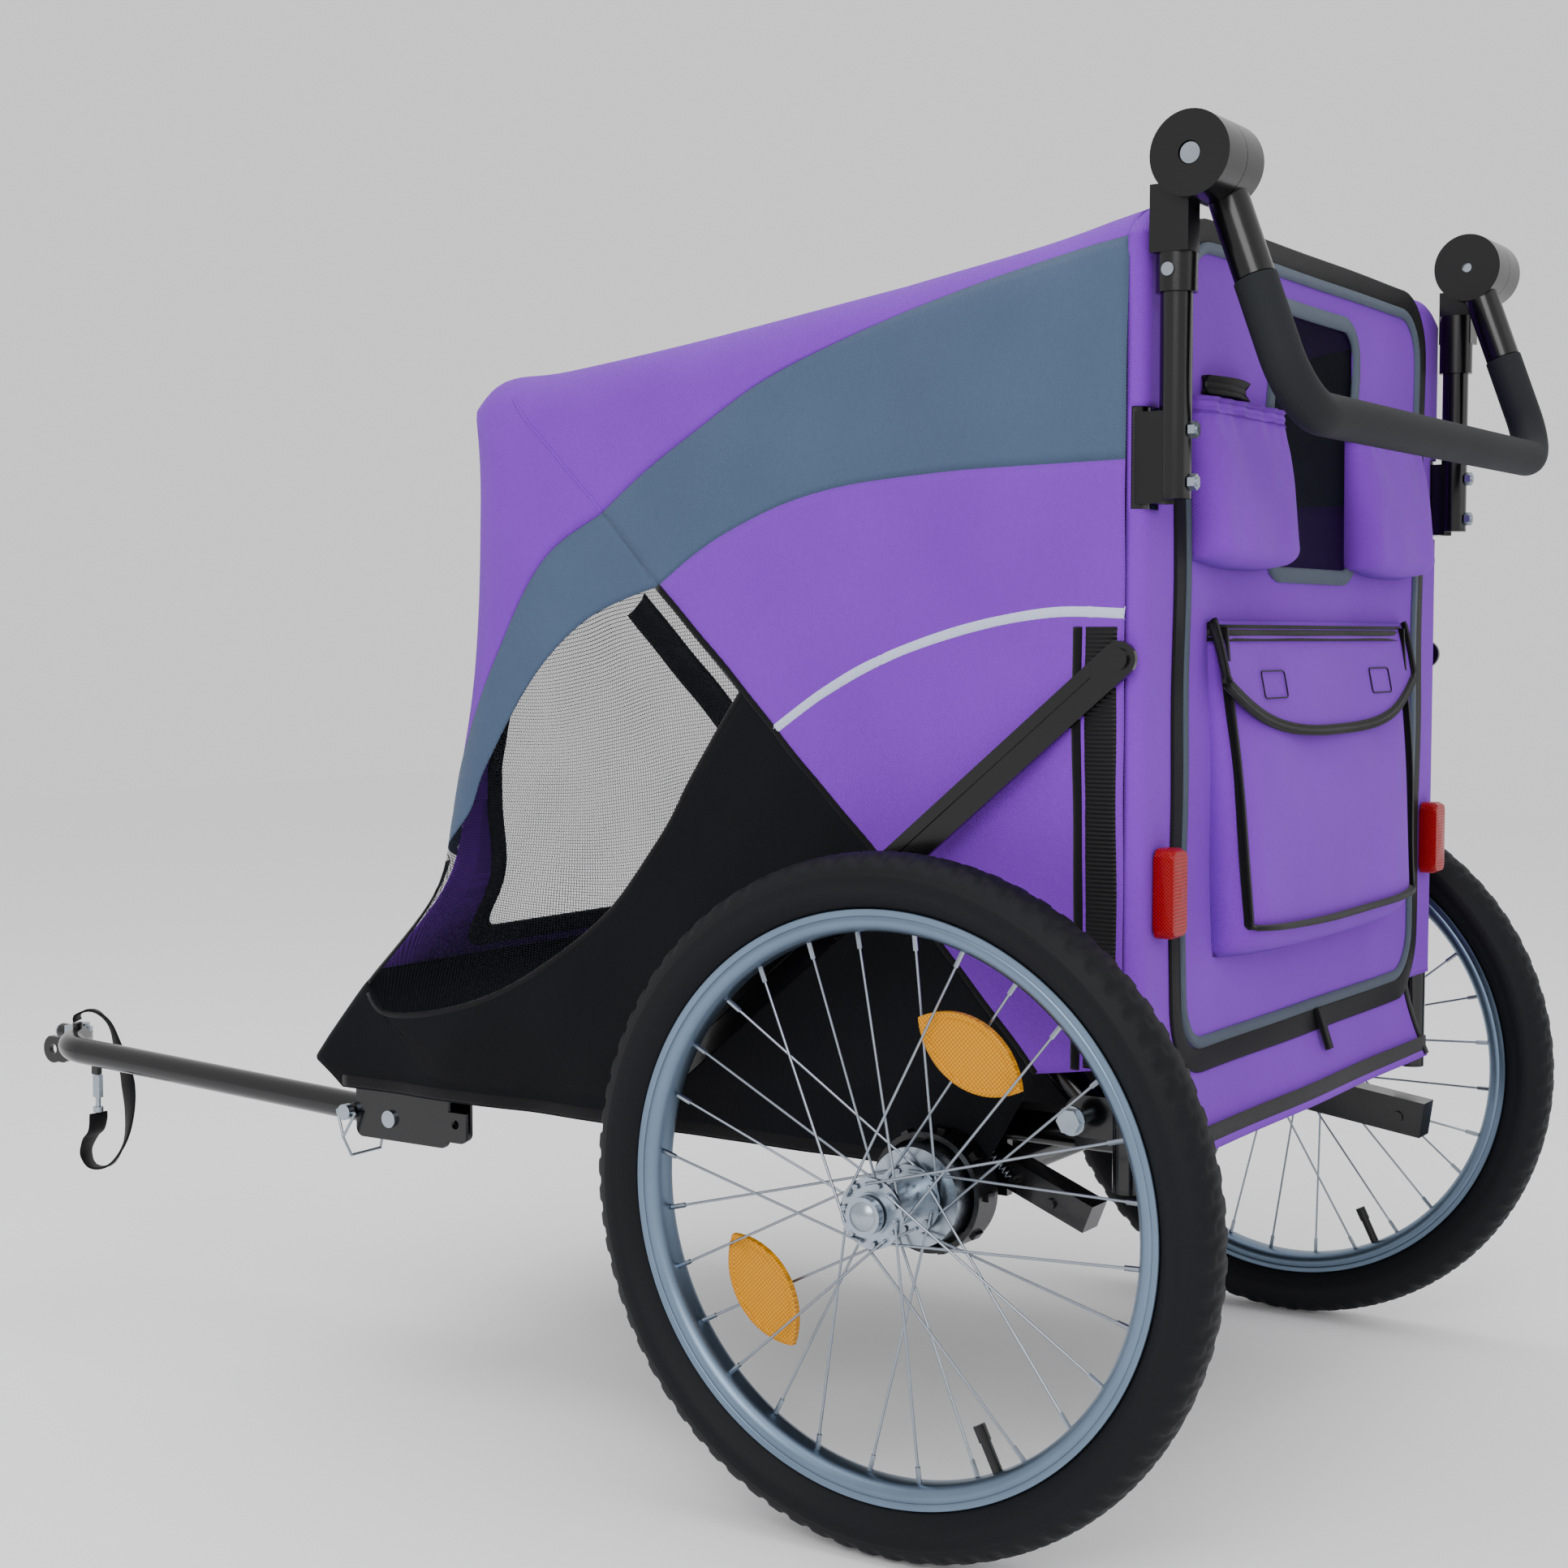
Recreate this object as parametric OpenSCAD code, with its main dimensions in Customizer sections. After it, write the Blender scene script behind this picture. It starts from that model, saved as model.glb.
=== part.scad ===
// Two-wheeled bicycle trailer with a folding hoop frame, a fabric cabin, a push handle and a tow arm.
// Millimetres. +X is forward (towards the bicycle), +Y is the left side, +Z is up.
// The ground is Z = 0. Every module works from the point under the middle of the wheel axle,
// and framed() then moves the whole trailer so that its length is centred on X = 0.

/* [Wheels] */
// Diameter over the tyre
tyre_d = 500; // [450:1:520]
// Width of the tyre
tyre_w = 47; // [40:1:54]
// Diameter over the rim's flanges
rim_d = 421; // [380:1:430]
// Width of the rim
rim_w = 28; // [24:1:34]
// Radial depth of the rim
rim_depth = 17; // [12:1:22]
// Distance between the two wheel planes
track = 754; // [740:1:900]
// Number of spokes in a wheel
spoke_count = 28; // [20:4:36]
// Spoke diameter
spoke_d = 2; // [1.8:0.1:2.6]
// Diameter of the hub's flanges
flange_d = 50; // [46:1:60]
// Distance between the hub's flanges
flange_gap = 50; // [44:1:60]
// Diameter of the wheel's axle pin
axle_pin_d = 12; // [10:0.5:14]

/* [Base frame] */
// Outer diameter of the base rails
rail_d = 25; // [22:1:28]
// Wall of every frame tube
tube_wall = 1.6; // [1.2:0.1:2.5]
// Distance from the centre plane to each base rail
rail_y = 247; // [235:1:250]
// Height of the base rails
rail_z = 290; // [285:1:300]
// Front end of the base rails
rail_front_x = 610; // [560:1:680]
// Rear end of the base rails
rail_rear_x = -132; // [-160:1:-125]
// Half length of the front cross tube
front_tube_half = 281; // [270:1:284]
// Outer diameter of the axle tube
axle_tube_d = 28; // [26:1:32]

/* [Hoops] */
// Outer diameter of the hoops and handle posts
hoop_d = 22; // [20:1:24]
// Distance from the centre plane to each rear post
rear_post_y = 298; // [298:1:310]
// Distance from the centre plane to each front post
front_post_y = 272; // [271:1:273]
// Distance from the hoop pivot back to the rear posts
rear_post_back = 38; // [30:1:50]
// Fore-and-aft place of the hoop pivot, from the axle
pivot_x = -107; // [-115:1:-100]
// Height of the hoop pivot
pivot_z = 311; // [309:1:325]
// Height of the rear hoop's crossbar
rear_hoop_top = 925; // [820:1:1000]
// Lean of the front hoop above the horizontal, in degrees
front_hoop_angle = 45.5; // [42:0.5:50]
// Length of the front hoop from its pivot to its crossbar
front_hoop_len = 746; // [640:1:750]
// Bend radius at the hoops' corners
hoop_bend = 60; // [45:1:90]
// Diameter of the hoop pivot bolts
pivot_bolt_d = 10; // [8:1:12]

/* [Push handle] */
// Distance from a rear post back to its handle post
handle_post_back = 30; // [28:1:40]
// Bottom end of the handle posts
handle_post_bottom = 744; // [700:1:760]
// Top end of the handle posts, inside the plastic forks
handle_post_top = 925; // [900:1:935]
// Height of the handle's tilt joints
tilt_z = 966; // [950:1:990]
// Distance from the handle posts back to the tilt joints
tilt_back = 19; // [14:1:24]
// Diameter of the tilt joints' discs
tilt_disc_d = 57; // [50:1:64]
// Length of the handle's arms, from the tilt joint to the grip bar
arm_len = 178; // [150:1:220]
// Backward lean of the hanging arms, in degrees from vertical
arm_lean = 20; // [15:1:35]
// Outer diameter of the foam grip
foam_d = 30; // [27:1:36]
// Inner bend radius of the handle, to the tube's centre
handle_bend = 42; // [35:1:60]

/* [Braces] */
// Height of a brace's bolt on the rear post
brace_top_z = 633; // [600:1:660]
// Fore-and-aft place of a brace's lower bolt
brace_low_x = 268; // [255:1:285]
// Height of a brace's lower bolt
brace_low_z = 286; // [283:1:292]
// Length of the upper link between its bolts
upper_link_len = 303; // [300:1:306]
// Width of a brace link
link_w = 25; // [20:1:28]
// Thickness of a brace link
link_t = 4; // [3:0.5:5]

/* [Tow arm] */
// Outer diameter of the tow arm
arm_d = 25; // [22:1:28]
// Distance from the centre plane to the tow arm
arm_y = 250; // [230:1:252]
// Fore-and-aft place of the tow arm's pivot bolt
arm_pivot_x = 571; // [540:1:590]
// Height of the tow arm's pivot bolt
arm_pivot_z = 230; // [226:1:234]
// Straight length of the tow arm ahead of its pivot bolt
arm_straight = 412; // [360:1:500]
// Upward slope of the tow arm, in degrees
arm_rise = 2.5; // [0:0.5:4]
// Bend of the tow arm's end towards the centre plane, in degrees
arm_bend = 55; // [40:1:70]
// Diameter of the hole for the bicycle's axle in the hitch plate
hitch_hole_d = 10.5; // [10:0.5:12.5]
// Thickness of the hitch plate
hitch_t = 5; // [4:0.5:8]
// Diameter of the caster hole at the back of the tow bracket
caster_hole_d = 8; // [6:0.5:10]

/* [Cabin cover] */
// Thickness of the cover's fabric panels
cloth_t = 1.6; // [1:0.1:2.4]
// Height of the roof's rear edge
roof_rear_z = 944; // [940:1:960]
// Height of the roof's front edge
roof_front_z = 863; // [860:1:870]
// Height of the cover's bottom hem
hem_z = 258; // [252:1:262]
// Width of the rear window
window_w = 176; // [140:1:200]
// Height of the rear window
window_h = 200; // [160:1:205]
// Width of the rear pocket
pocket_w = 404; // [340:1:420]
// Height of the rear pocket
pocket_h = 240; // [200:1:245]
// Depth of the rear pocket at its bottom
pocket_depth = 38; // [25:1:45]

/* [Clearances] */
// Radial clearance of a bolt or shaft that something turns on
running_gap = 0.06; // [0.02:0.01:0.1]
// Gap between pieces that pass each other
side_gap = 0.6; // [0.3:0.1:1]
// Radial gap of a plug, sleeve or bolt that is fixed in a tube or hole
snug_gap = 0.05; // [0.02:0.01:0.1]
// Gap between a fabric panel and its neighbours
soft_gap = 0.4; // [0.3:0.1:0.8]

/* [Hidden] */
$fn = 48;

// Colours
black_steel = "#15161A";
black_plastic = "#1E1F23";
bright_steel = "#B9BDC2";
purple = "#8458B4";
band_grey = "#59646F";
skirt_black = "#14151C";
mesh_white = "#C9CDD2";

// Places shared by several sub-parts
axle_z = tyre_d / 2;
wheel_y = track / 2;
post_x = pivot_x - rear_post_back;
handle_post_x = post_x - handle_post_back;
tilt_x = handle_post_x - tilt_back;
rail_top = rail_z + rail_d / 2;
front_tube_x = rail_front_x + rail_d / 2;
front_tube_z = rail_z - 7;
rear_wall_x = post_x - hoop_d / 2 - soft_gap - cloth_t;
cabin_rear_half = rear_post_y + hoop_d / 2 + soft_gap;
cabin_front_half = max(front_tube_half, front_post_y + hoop_d / 2) + soft_gap;
plate_t = 4;
foot_y = rear_post_y - hoop_d / 2 + 0.5;
link_inner_y = cabin_rear_half + cloth_t + 1.5;
upper_link_y = link_inner_y + link_t + side_gap;
bracket_wall = 3;
bracket_inner = arm_d / 2 + side_gap;
pin_ahead = 47;
pin_d = 8;

arm_bend_r = 50;
arm_tail = 24;
tongue_t = 8;
// The coupler's swivel centre, in the tow arm's own frame
swivel = [arm_straight + arm_bend_r * sin(arm_bend) + (arm_tail + 16) * cos(arm_bend),
          -arm_bend_r * (1 - cos(arm_bend)) - (arm_tail + 16) * sin(arm_bend), 0];
stud_start = 18;
boss_len = 12;
plate_ahead = 24;
plate_drop = 20;

// The grip's and the hitch plate's far points, which set the overall length
grip_x = tilt_x - arm_len * sin(arm_lean);
hitch_tip_x = arm_pivot_x + (swivel[0] + stud_start + side_gap + plate_ahead) * cos(arm_rise)
            + plate_drop * sin(arm_rise) + 14;
mid_x = (hitch_tip_x + grip_x - foam_d / 2) / 2;

module framed() { translate([-mid_x, 0, 0]) children(); }
module both_sides() {
    children();
    mirror([0, 1, 0]) children();
}
module on_side(s) {
    if (s > 0) children();
    else mirror([0, 1, 0]) children();
}

// A cylinder along Y from y0 to y1
module pin_y(x, z, y0, y1, d, fn = 48) {
    translate([x, y0, z]) rotate([-90, 0, 0]) cylinder(d = d, h = y1 - y0, $fn = fn);
}

// A solid rod between two points
module rod(a, b, d) {
    v = b - a;
    translate(a) rotate([0, acos(v[2] / norm(v)), atan2(v[1], v[0])]) cylinder(d = d, h = norm(v), $fn = 24);
}

// A straight tube along +Z
module tube(d, wall, h) {
    difference() {
        cylinder(d = d, h = h);
        translate([0, 0, -1]) cylinder(d = d - 2 * wall, h = h + 2);
    }
}

// A tube bent through an angle in the XY plane: it starts at [r, 0] and curves about the origin
module elbow(d, wall, r, angle) {
    rotate_extrude(angle = angle) translate([r, 0]) difference() {
        circle(d = d);
        circle(d = d - 2 * wall);
    }
}

// An upright U of tube in the YZ plane: feet at Z = 0, crossbar at Z = height
module u_tube(d, wall, half, height, r) {
    both_sides() {
        translate([0, half, 0]) tube(d, wall, height - r);
        translate([0, half - r, height - r]) rotate([90, 0, 90]) elbow(d, wall, r, 90);
        translate([0, half - r, height]) rotate([90, 0, 0]) tube(d, wall, half - r);
    }
}

// A slab that stands in the XZ plane from y0 to y1, from an outline given in X and Z
module slab_y(y0, y1) {
    translate([0, y1, 0]) rotate([90, 0, 0]) linear_extrude(y1 - y0) children();
}

// A hexagonal nut or bolt head along Y
module hex_y(x, z, y0, h, across) {
    translate([x, y0, z]) rotate([-90, 0, 0]) cylinder(d = across / cos(30), h = h, $fn = 6);
}

// Curves ------------------------------------------------------------------------------------

// A smooth curve through the given points, with a few steps in each stretch
function curve_point(p, i, t) =
    let (n = len(p) - 1, a = p[max(i - 1, 0)], b = p[i], c = p[i + 1], d = p[min(i + 2, n)])
    0.5 * (2 * b + (c - a) * t + (2 * a - 5 * b + 4 * c - d) * t * t + (3 * b - a - 3 * c + d) * t * t * t);
function smooth(p, steps = 4) =
    concat([for (i = [0:len(p) - 2], k = [0:steps - 1]) curve_point(p, i, k / steps)], [p[len(p) - 1]]);
function reversed(p) = [for (i = [len(p) - 1:-1:0]) p[i]];

// Where the front hoop's centre line is, a distance s along it from the pivot
function hoop_at(s) = [pivot_x + s * cos(front_hoop_angle), pivot_z + s * sin(front_hoop_angle)];

// The side outline, in X and Z. The seam follows the front hoop.
band_seam_high = 610;
band_seam_low = 528;
skirt_seam = 415;
roof_rear = [rear_wall_x + cloth_t + soft_gap, roof_rear_z - soft_gap - cloth_t];
roof_front = [443, roof_front_z - soft_gap - cloth_t];
front_top = [473, roof_front_z - 26];
roof_line = smooth([roof_rear, [-70, roof_rear_z - 18], [60, roof_rear_z - 36], [240, roof_rear_z - 62],
                    [380, roof_front_z + 2], roof_front, front_top]);
front_line = smooth([front_top, [468, 760], [476, 620], [499, 509], [515, 433], [590, 346], [640, 284]]);
band_top_line = smooth([[rear_wall_x + cloth_t + soft_gap, 921], [0, 893], [130, 855], [240, 800], hoop_at(band_seam_high)]);
band_low_line = smooth([[rear_wall_x + cloth_t + soft_gap, 768], [0, 766], [110, 757], [200, 728], hoop_at(band_seam_low)]);
band_outer_line = smooth([hoop_at(band_seam_high), [378, 712], [432, 630], [474, 548], [499, 509]]);
band_inner_line = smooth([hoop_at(band_seam_low), [335, 663], [398, 608], [442, 541], [462, 500], [508, 462]]);
mesh_low_line = smooth([hoop_at(skirt_seam), [232, 540], [262, 490], [318, 425], [400, 368], [480, 336], [560, 326], [582, 355]]);

// Cabin cover -------------------------------------------------------------------------------

// The side wall of the cabin in plan: parallel round the rear post, then tapering to the front hoop
module side_plan() {
    bend_x = post_x + hoop_d / 2 + 14;
    front_x = 700;
    linear_extrude(1000) polygon([
        [rear_wall_x, cabin_rear_half], [bend_x, cabin_rear_half],
        [60, cabin_front_half + 2], [260, cabin_front_half], [front_x, cabin_front_half],
        [front_x, cabin_front_half + cloth_t], [260, cabin_front_half + cloth_t],
        [60, cabin_front_half + cloth_t + 2], [bend_x, cabin_rear_half + cloth_t],
        [rear_wall_x, cabin_rear_half + cloth_t]]);
}

// A piece of the left side wall with the given outline in X and Z
module side_piece(outline) {
    intersection() {
        side_plan();
        slab_y(270, 330) polygon(outline);
    }
}

// The cut-out in the rear wall where the saddles pass
module saddle_cutout() { translate([rear_wall_x - 5, rear_post_y - 10.5, 737]) cube([40, 21, 64]); }

module side_panels() {
    outline = concat(
        reversed(band_low_line),
        [[rear_wall_x + cloth_t + soft_gap, 352], [-78, 341]],
        [hoop_at(skirt_seam)]);
    color(purple) framed() both_sides() difference() {
        side_piece(outline);
        pin_y(post_x, brace_top_z, 280, 340, 14);
    }
}

module side_bands() {
    color(band_grey) framed() both_sides() {
        side_piece(concat(band_top_line, reversed(band_low_line)));
        side_piece(concat(band_outer_line, reversed(band_inner_line)));
    }
}

module corner_panels() {
    outline = concat(
        roof_line, [for (i = [1:len(front_line) - 1]) if (front_line[i][1] > 509.5) front_line[i]],
        reversed(band_outer_line), reversed(band_top_line));
    color(purple) framed() both_sides() side_piece(outline);
}

module side_skirts() {
    outline = concat(
        mesh_low_line, [[640, 284], [606, hem_z], [-28, hem_z], [-78, 341]]);
    color(skirt_black) framed() both_sides() difference() {
        side_piece(outline);
        pin_y(brace_low_x, brace_low_z, 270, 320, 18);
        pin_y(0, axle_z, 270, 320, axle_tube_d + 2);
    }
}

// The side windows, and the window in the front cover
module mesh_windows() {
    outline = concat(
        band_inner_line, [[515, 433], [582, 355]], reversed(mesh_low_line));
    color(mesh_white) framed() {
        both_sides() side_piece(outline);
        intersection() {
            front_wall();
            front_window(0);
        }
    }
}

// The front wall follows the side walls' front edge
front_window_w = 432;
front_window_low_w = 352;
front_window_low = 380;
front_window_waist = 536;
front_window_top = 720;
module front_wall() {
    half = cabin_front_half - soft_gap;
    inner = [for (p = front_line) p + [soft_gap, 0]];
    slab_y(-half, half) polygon(concat(inner, reversed([for (p = inner) p + [cloth_t, 0]])));
}
module front_window(margin) {
    low = front_window_low_w / 2 + margin;
    high = front_window_w / 2 + margin;
    translate([400, 0, 0]) rotate([90, 0, 90]) linear_extrude(250) polygon([
        [-low, front_window_low - margin], [low, front_window_low - margin],
        [high, front_window_waist], [high, front_window_top + margin],
        [-high, front_window_top + margin], [-high, front_window_waist]]);
}
module front_cover() {
    color(purple) framed() difference() {
        front_wall();
        front_window(soft_gap);
    }
}

module roof_cover() {
    top = [for (p = roof_line) p + [0, soft_gap]];
    over = [for (p = top) p + [0, cloth_t + 0.4]];
    plan = [
        [roof_rear[0], cabin_rear_half + cloth_t], [post_x + 25, cabin_rear_half + cloth_t],
        [60, cabin_front_half + cloth_t + 2], [260, cabin_front_half + cloth_t], [700, cabin_front_half + cloth_t]];
    color(purple) framed() intersection() {
        slab_y(-330, 330) polygon(concat(top, reversed(over)));
        linear_extrude(1100) polygon(concat(plan, [for (p = reversed(plan)) [p[0], -p[1]]]));
    }
}

// Rear wall, in Y and Z, drawn as a slab that faces backwards
module rear_slab(x, t) { translate([x - t, 0, 0]) rotate([90, 0, 90]) linear_extrude(t) children(); }
module rounded_rect(w, h, r) {
    translate([-w / 2 + r, r]) square([w - 2 * r, h - 2 * r]);
    translate([-w / 2, r]) square([r, h - 2 * r]);
    translate([w / 2 - r, r]) square([r, h - 2 * r]);
    translate([-w / 2 + r, 0]) square([w - 2 * r, r]);
    translate([-w / 2 + r, h - r]) square([w - 2 * r, r]);
    for (x = [-w / 2 + r, w / 2 - r], y = [r, h - r]) translate([x, y]) circle(r = r);
}
door_w = 2 * (rear_post_y - 50);
door_bottom = 350;
door_top = roof_rear_z - 6;
window_z = 697;

module rear_cover() {
    wall_x = rear_wall_x + cloth_t;
    half = cabin_rear_half + cloth_t;
    color(purple) framed() difference() {
        rear_slab(wall_x, cloth_t) difference() {
            translate([-half, 284]) square([2 * half, roof_rear_z - 284]);
            translate([0, door_bottom - soft_gap])
                rounded_rect(door_w + 2 * soft_gap, door_top - door_bottom + 2 * soft_gap, 40);
        }
        both_sides() saddle_cutout();
    }
}

module rear_door() {
    color(purple) framed() rear_slab(rear_wall_x + cloth_t, cloth_t) difference() {
        translate([0, door_bottom]) rounded_rect(door_w, door_top - door_bottom, 40);
        translate([0, window_z]) rounded_rect(window_w, window_h, 22);
    }
}

module rear_window_mesh() {
    color(skirt_black) framed() rear_slab(rear_wall_x + cloth_t, cloth_t)
        translate([0, window_z + soft_gap])
            rounded_rect(window_w - 2 * soft_gap, window_h - 2 * soft_gap, 22);
}

// A wedge-shaped pouch: an open-topped box with a thin wall, deeper at the bottom than the top
module pouch(w, h, deep, shallow, wall) {
    difference() {
        slab_y(-w / 2, w / 2) polygon([[0, 0], [-deep, 0], [-shallow, h], [0, h]]);
        slab_y(-w / 2 + wall, w / 2 - wall)
            polygon([[-wall, wall], [wall - deep, wall], [wall - shallow, h + 1], [-wall, h + 1]]);
    }
}
pocket_top = 655;
module rear_pocket() {
    color(purple) framed() translate([rear_wall_x - soft_gap, 0, pocket_top - pocket_h])
        pouch(pocket_w, pocket_h, pocket_depth, pocket_mouth, 2.5);
}
pouch_w = 165;
module bottle_pouches() {
    color(purple) framed() both_sides()
        translate([rear_wall_x - soft_gap, window_w / 2 + pouch_w / 2 - 14, 702]) pouch(pouch_w, 112, 34, 14, 2.5);
}
// The flap hangs over the pocket's mouth from its seam on the door
flap_drop = 84;
pocket_mouth = 12;
module pocket_flap() {
    half = pocket_w / 2 + 2;
    hinge_x = rear_wall_x - soft_gap;
    out_x = hinge_x - pocket_mouth - 2 * soft_gap;
    slope = atan2(pocket_depth - pocket_mouth, pocket_h);
    color(purple) framed() {
        translate([out_x, 0, pocket_top + 5]) rotate([0, slope, 0]) translate([-cloth_t, 0, 0])
            rotate([90, 0, 90]) linear_extrude(cloth_t)
                polygon(concat([[half, 0], [-half, 0]],
                    [for (k = [0:12]) [-half + k * half / 6, 45 * pow(abs(k / 6 - 1), 3) - flap_drop]]));
        translate([out_x - 0.9, -half, pocket_top + 5 - cloth_t]) cube([hinge_x - out_x + 0.9, 2 * half, cloth_t]);
    }
}

module rear_reflectors() {
    color("#C8141E") framed() both_sides()
        translate([rear_wall_x - soft_gap - 9, rear_post_y - 31, 440]) rotate([0, -7, 0])
            cube([9, 26, 62]);
}

// Base --------------------------------------------------------------------------------------

module base_frame() {
    color(black_steel) framed() {
        both_sides() {
            translate([rail_rear_x, rail_y, rail_z]) rotate([0, 90, 0])
                tube(rail_d, tube_wall, front_tube_x - rail_rear_x);
            // Ear that carries the hoop pivot bolt
            slab_y(rail_y + rail_d / 2 - 4, rail_y + rail_d / 2 + 0.8) difference() {
                union() {
                    translate([pivot_x - 22, rail_z - 8]) square([44, pivot_z - rail_z + 8]);
                    translate([pivot_x, pivot_z]) circle(r = 16);
                }
                translate([pivot_x, pivot_z]) circle(d = pivot_bolt_d + 2 * snug_gap);
            }
            // Plates that hang the axle tube from the rail
            slab_y(rail_y - 3, rail_y + 5) difference() {
                translate([-26, axle_z - 14]) square([52, rail_z - axle_z + 10]);
                translate([0, axle_z]) circle(d = axle_tube_d - 2);
            }
            // Standoff for the brace's lower bolt
            difference() {
                pin_y(brace_low_x, brace_low_z, rail_y + rail_d / 2 - 4, link_inner_y - side_gap, 14);
                pin_y(brace_low_x, brace_low_z, rail_y + rail_d / 2, link_inner_y, 8 + 2 * snug_gap);
            }
            // Axle tube with a bored end plug
            translate([0, 0, axle_z]) rotate([-90, 0, 0]) difference() {
                cylinder(d = axle_tube_d, h = axle_tube_end);
                translate([0, 0, -1]) cylinder(d = axle_tube_d - 2 * tube_wall, h = axle_tube_end - 39);
                cylinder(d = axle_pin_d + 2 * snug_gap, h = axle_tube_end + 1);
            }
        }
        // Cross tubes at the front and the rear
        translate([front_tube_x, -front_tube_half, front_tube_z]) rotate([-90, 0, 0])
            cylinder(d = rail_d, h = 2 * front_tube_half);
        translate([rail_rear_x, -rail_y, rail_z]) rotate([-90, 0, 0]) cylinder(d = rail_d, h = 2 * rail_y);
        // Cheeks for the brake pedal under the right rail
        for (y = [pedal_y - pedal_half - side_gap - 3, pedal_y + pedal_half + side_gap])
            slab_y(y, y + 3) difference() {
                translate([pedal_pivot_x - 14, pedal_pivot_z - 12]) square([28, rail_z - pedal_pivot_z + 10]);
                translate([pedal_pivot_x, pedal_pivot_z]) circle(d = 8 + 2 * snug_gap);
            }
        translate([pedal_pivot_x - 14, pedal_y - pedal_half - side_gap - 3, rail_z - 22])
            cube([28, 2 * (pedal_half + side_gap + 3), 12]);
        // Boss for the latch lever's rivet on the left rail
        difference() {
            pin_y(latch_x, latch_z, rail_y + 4, latch_y - latch_half - side_gap, 16);
            pin_y(latch_x, latch_z, rail_y + 10, latch_y, 8 + 2 * snug_gap);
        }
    }
}
axle_tube_end = 300;

module floor_panel() {
    half = rail_y + rail_d / 2 - 4.5;
    color(black_plastic) framed() translate([rail_rear_x + rail_d / 2 + 2, -half, rail_top + 0.4])
        cube([front_tube_x - rail_rear_x - rail_d - 16, 2 * half, 6]);
}

// Bolts that turn with nothing: hoop pivots, lower brace bolts, tow pivot, pedal pivot, latch rivet
module frame_bolts() {
    color(bright_steel) framed() {
        both_sides() {
            pin_y(pivot_x, pivot_z, rail_y + rail_d / 2 - 4, rear_post_y + hoop_d / 2, pivot_bolt_d);
            pin_y(pivot_x, pivot_z, rear_post_y + hoop_d / 2, rear_post_y + hoop_d / 2 + 2, 21);
            hex_y(pivot_x, pivot_z, rear_post_y + hoop_d / 2 + 2, 5, 16);
            pin_y(brace_low_x, brace_low_z, link_inner_y - 40, link_inner_y + link_t + side_gap, 8);
            pin_y(brace_low_x, brace_low_z, link_inner_y + link_t + side_gap, link_inner_y + link_t + side_gap + 3, 16);
        }
        pin_y(arm_pivot_x, arm_pivot_z, arm_y - bracket_inner - bracket_wall, arm_y + bracket_inner + bracket_wall, 8);
        pin_y(arm_pivot_x, arm_pivot_z, arm_y + bracket_inner + bracket_wall, arm_y + bracket_inner + bracket_wall + 3, 15);
        hex_y(arm_pivot_x, arm_pivot_z, arm_y - bracket_inner - bracket_wall - 6, 6, 13);
        pin_y(pedal_pivot_x, pedal_pivot_z, pedal_y - pedal_half - side_gap - 3, pedal_y + pedal_half + side_gap + 3, 8);
        pin_y(pedal_pivot_x, pedal_pivot_z, pedal_y + pedal_half + side_gap + 3, pedal_y + pedal_half + side_gap + 6, 14);
        hex_y(pedal_pivot_x, pedal_pivot_z, pedal_y - pedal_half - side_gap - 9, 6, 13);
        pin_y(latch_x, latch_z, rail_y + 10.5, latch_y + latch_half + side_gap, 8);
        pin_y(latch_x, latch_z, latch_y + latch_half + side_gap, latch_y + latch_half + side_gap + 1.6, 14);
        // Pin that the latch spring hooks on
        pin_y(spring_top[0], spring_top[1], rail_y + rail_d / 2 + snug_gap, latch_y + latch_half + 6, 6);
    }
}

module tow_bracket() {
    bracket_rear = arm_pivot_x - 66;
    bracket_front = arm_pivot_x + 40;
    top_z = arm_pivot_z + arm_d / 2 + 8;
    low_z = arm_pivot_z - 19;
    color(black_steel) framed() {
        for (y = [arm_y - bracket_inner - bracket_wall, arm_y + bracket_inner])
            slab_y(y, y + bracket_wall) difference() {
                union() {
                    translate([bracket_rear, low_z + 8]) square([bracket_front - bracket_rear, top_z - low_z - 8]);
                    translate([bracket_rear + 8, low_z]) square([bracket_front - bracket_rear - 16, 8]);
                    translate([bracket_rear + 8, low_z + 8]) circle(r = 8);
                    translate([bracket_front - 8, low_z + 8]) circle(r = 8);
                }
                translate([arm_pivot_x, arm_pivot_z]) circle(d = 8 + 2 * snug_gap);
            }
        // Web over the arm, and two feet that reach the rail and the front cross tube
        translate([bracket_rear, arm_y - bracket_inner - bracket_wall, top_z])
            cube([bracket_front - bracket_rear, 2 * (bracket_inner + bracket_wall), bracket_wall]);
        translate([bracket_rear + 6, arm_y - 9, top_z + bracket_wall]) saddle_foot();
        translate([bracket_front - 34, arm_y - 9, top_z + bracket_wall]) saddle_foot();
        // Rear tab with the caster hole
        slab_y(arm_y + bracket_inner, arm_y + bracket_inner + bracket_wall) difference() {
            union() {
                translate([bracket_rear - 14, low_z + 6]) square([14, 26]);
                translate([bracket_rear - 14, low_z + 12]) circle(r = 6);
                translate([bracket_rear - 20, low_z + 12]) square([8, 20]);
            }
            translate([bracket_rear - 8, low_z + 22]) circle(d = caster_hole_d);
        }
    }
}
// A block under the rail, hollowed to the rail's round
module saddle_foot() {
    top = arm_pivot_z + arm_d / 2 + 8 + bracket_wall;
    difference() {
        cube([26, 18, rail_z - top]);
        translate([-1, rail_y - arm_y + 9, rail_z - top]) rotate([0, 90, 0]) cylinder(d = rail_d + 2 * snug_gap, h = 30);
    }
}

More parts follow.
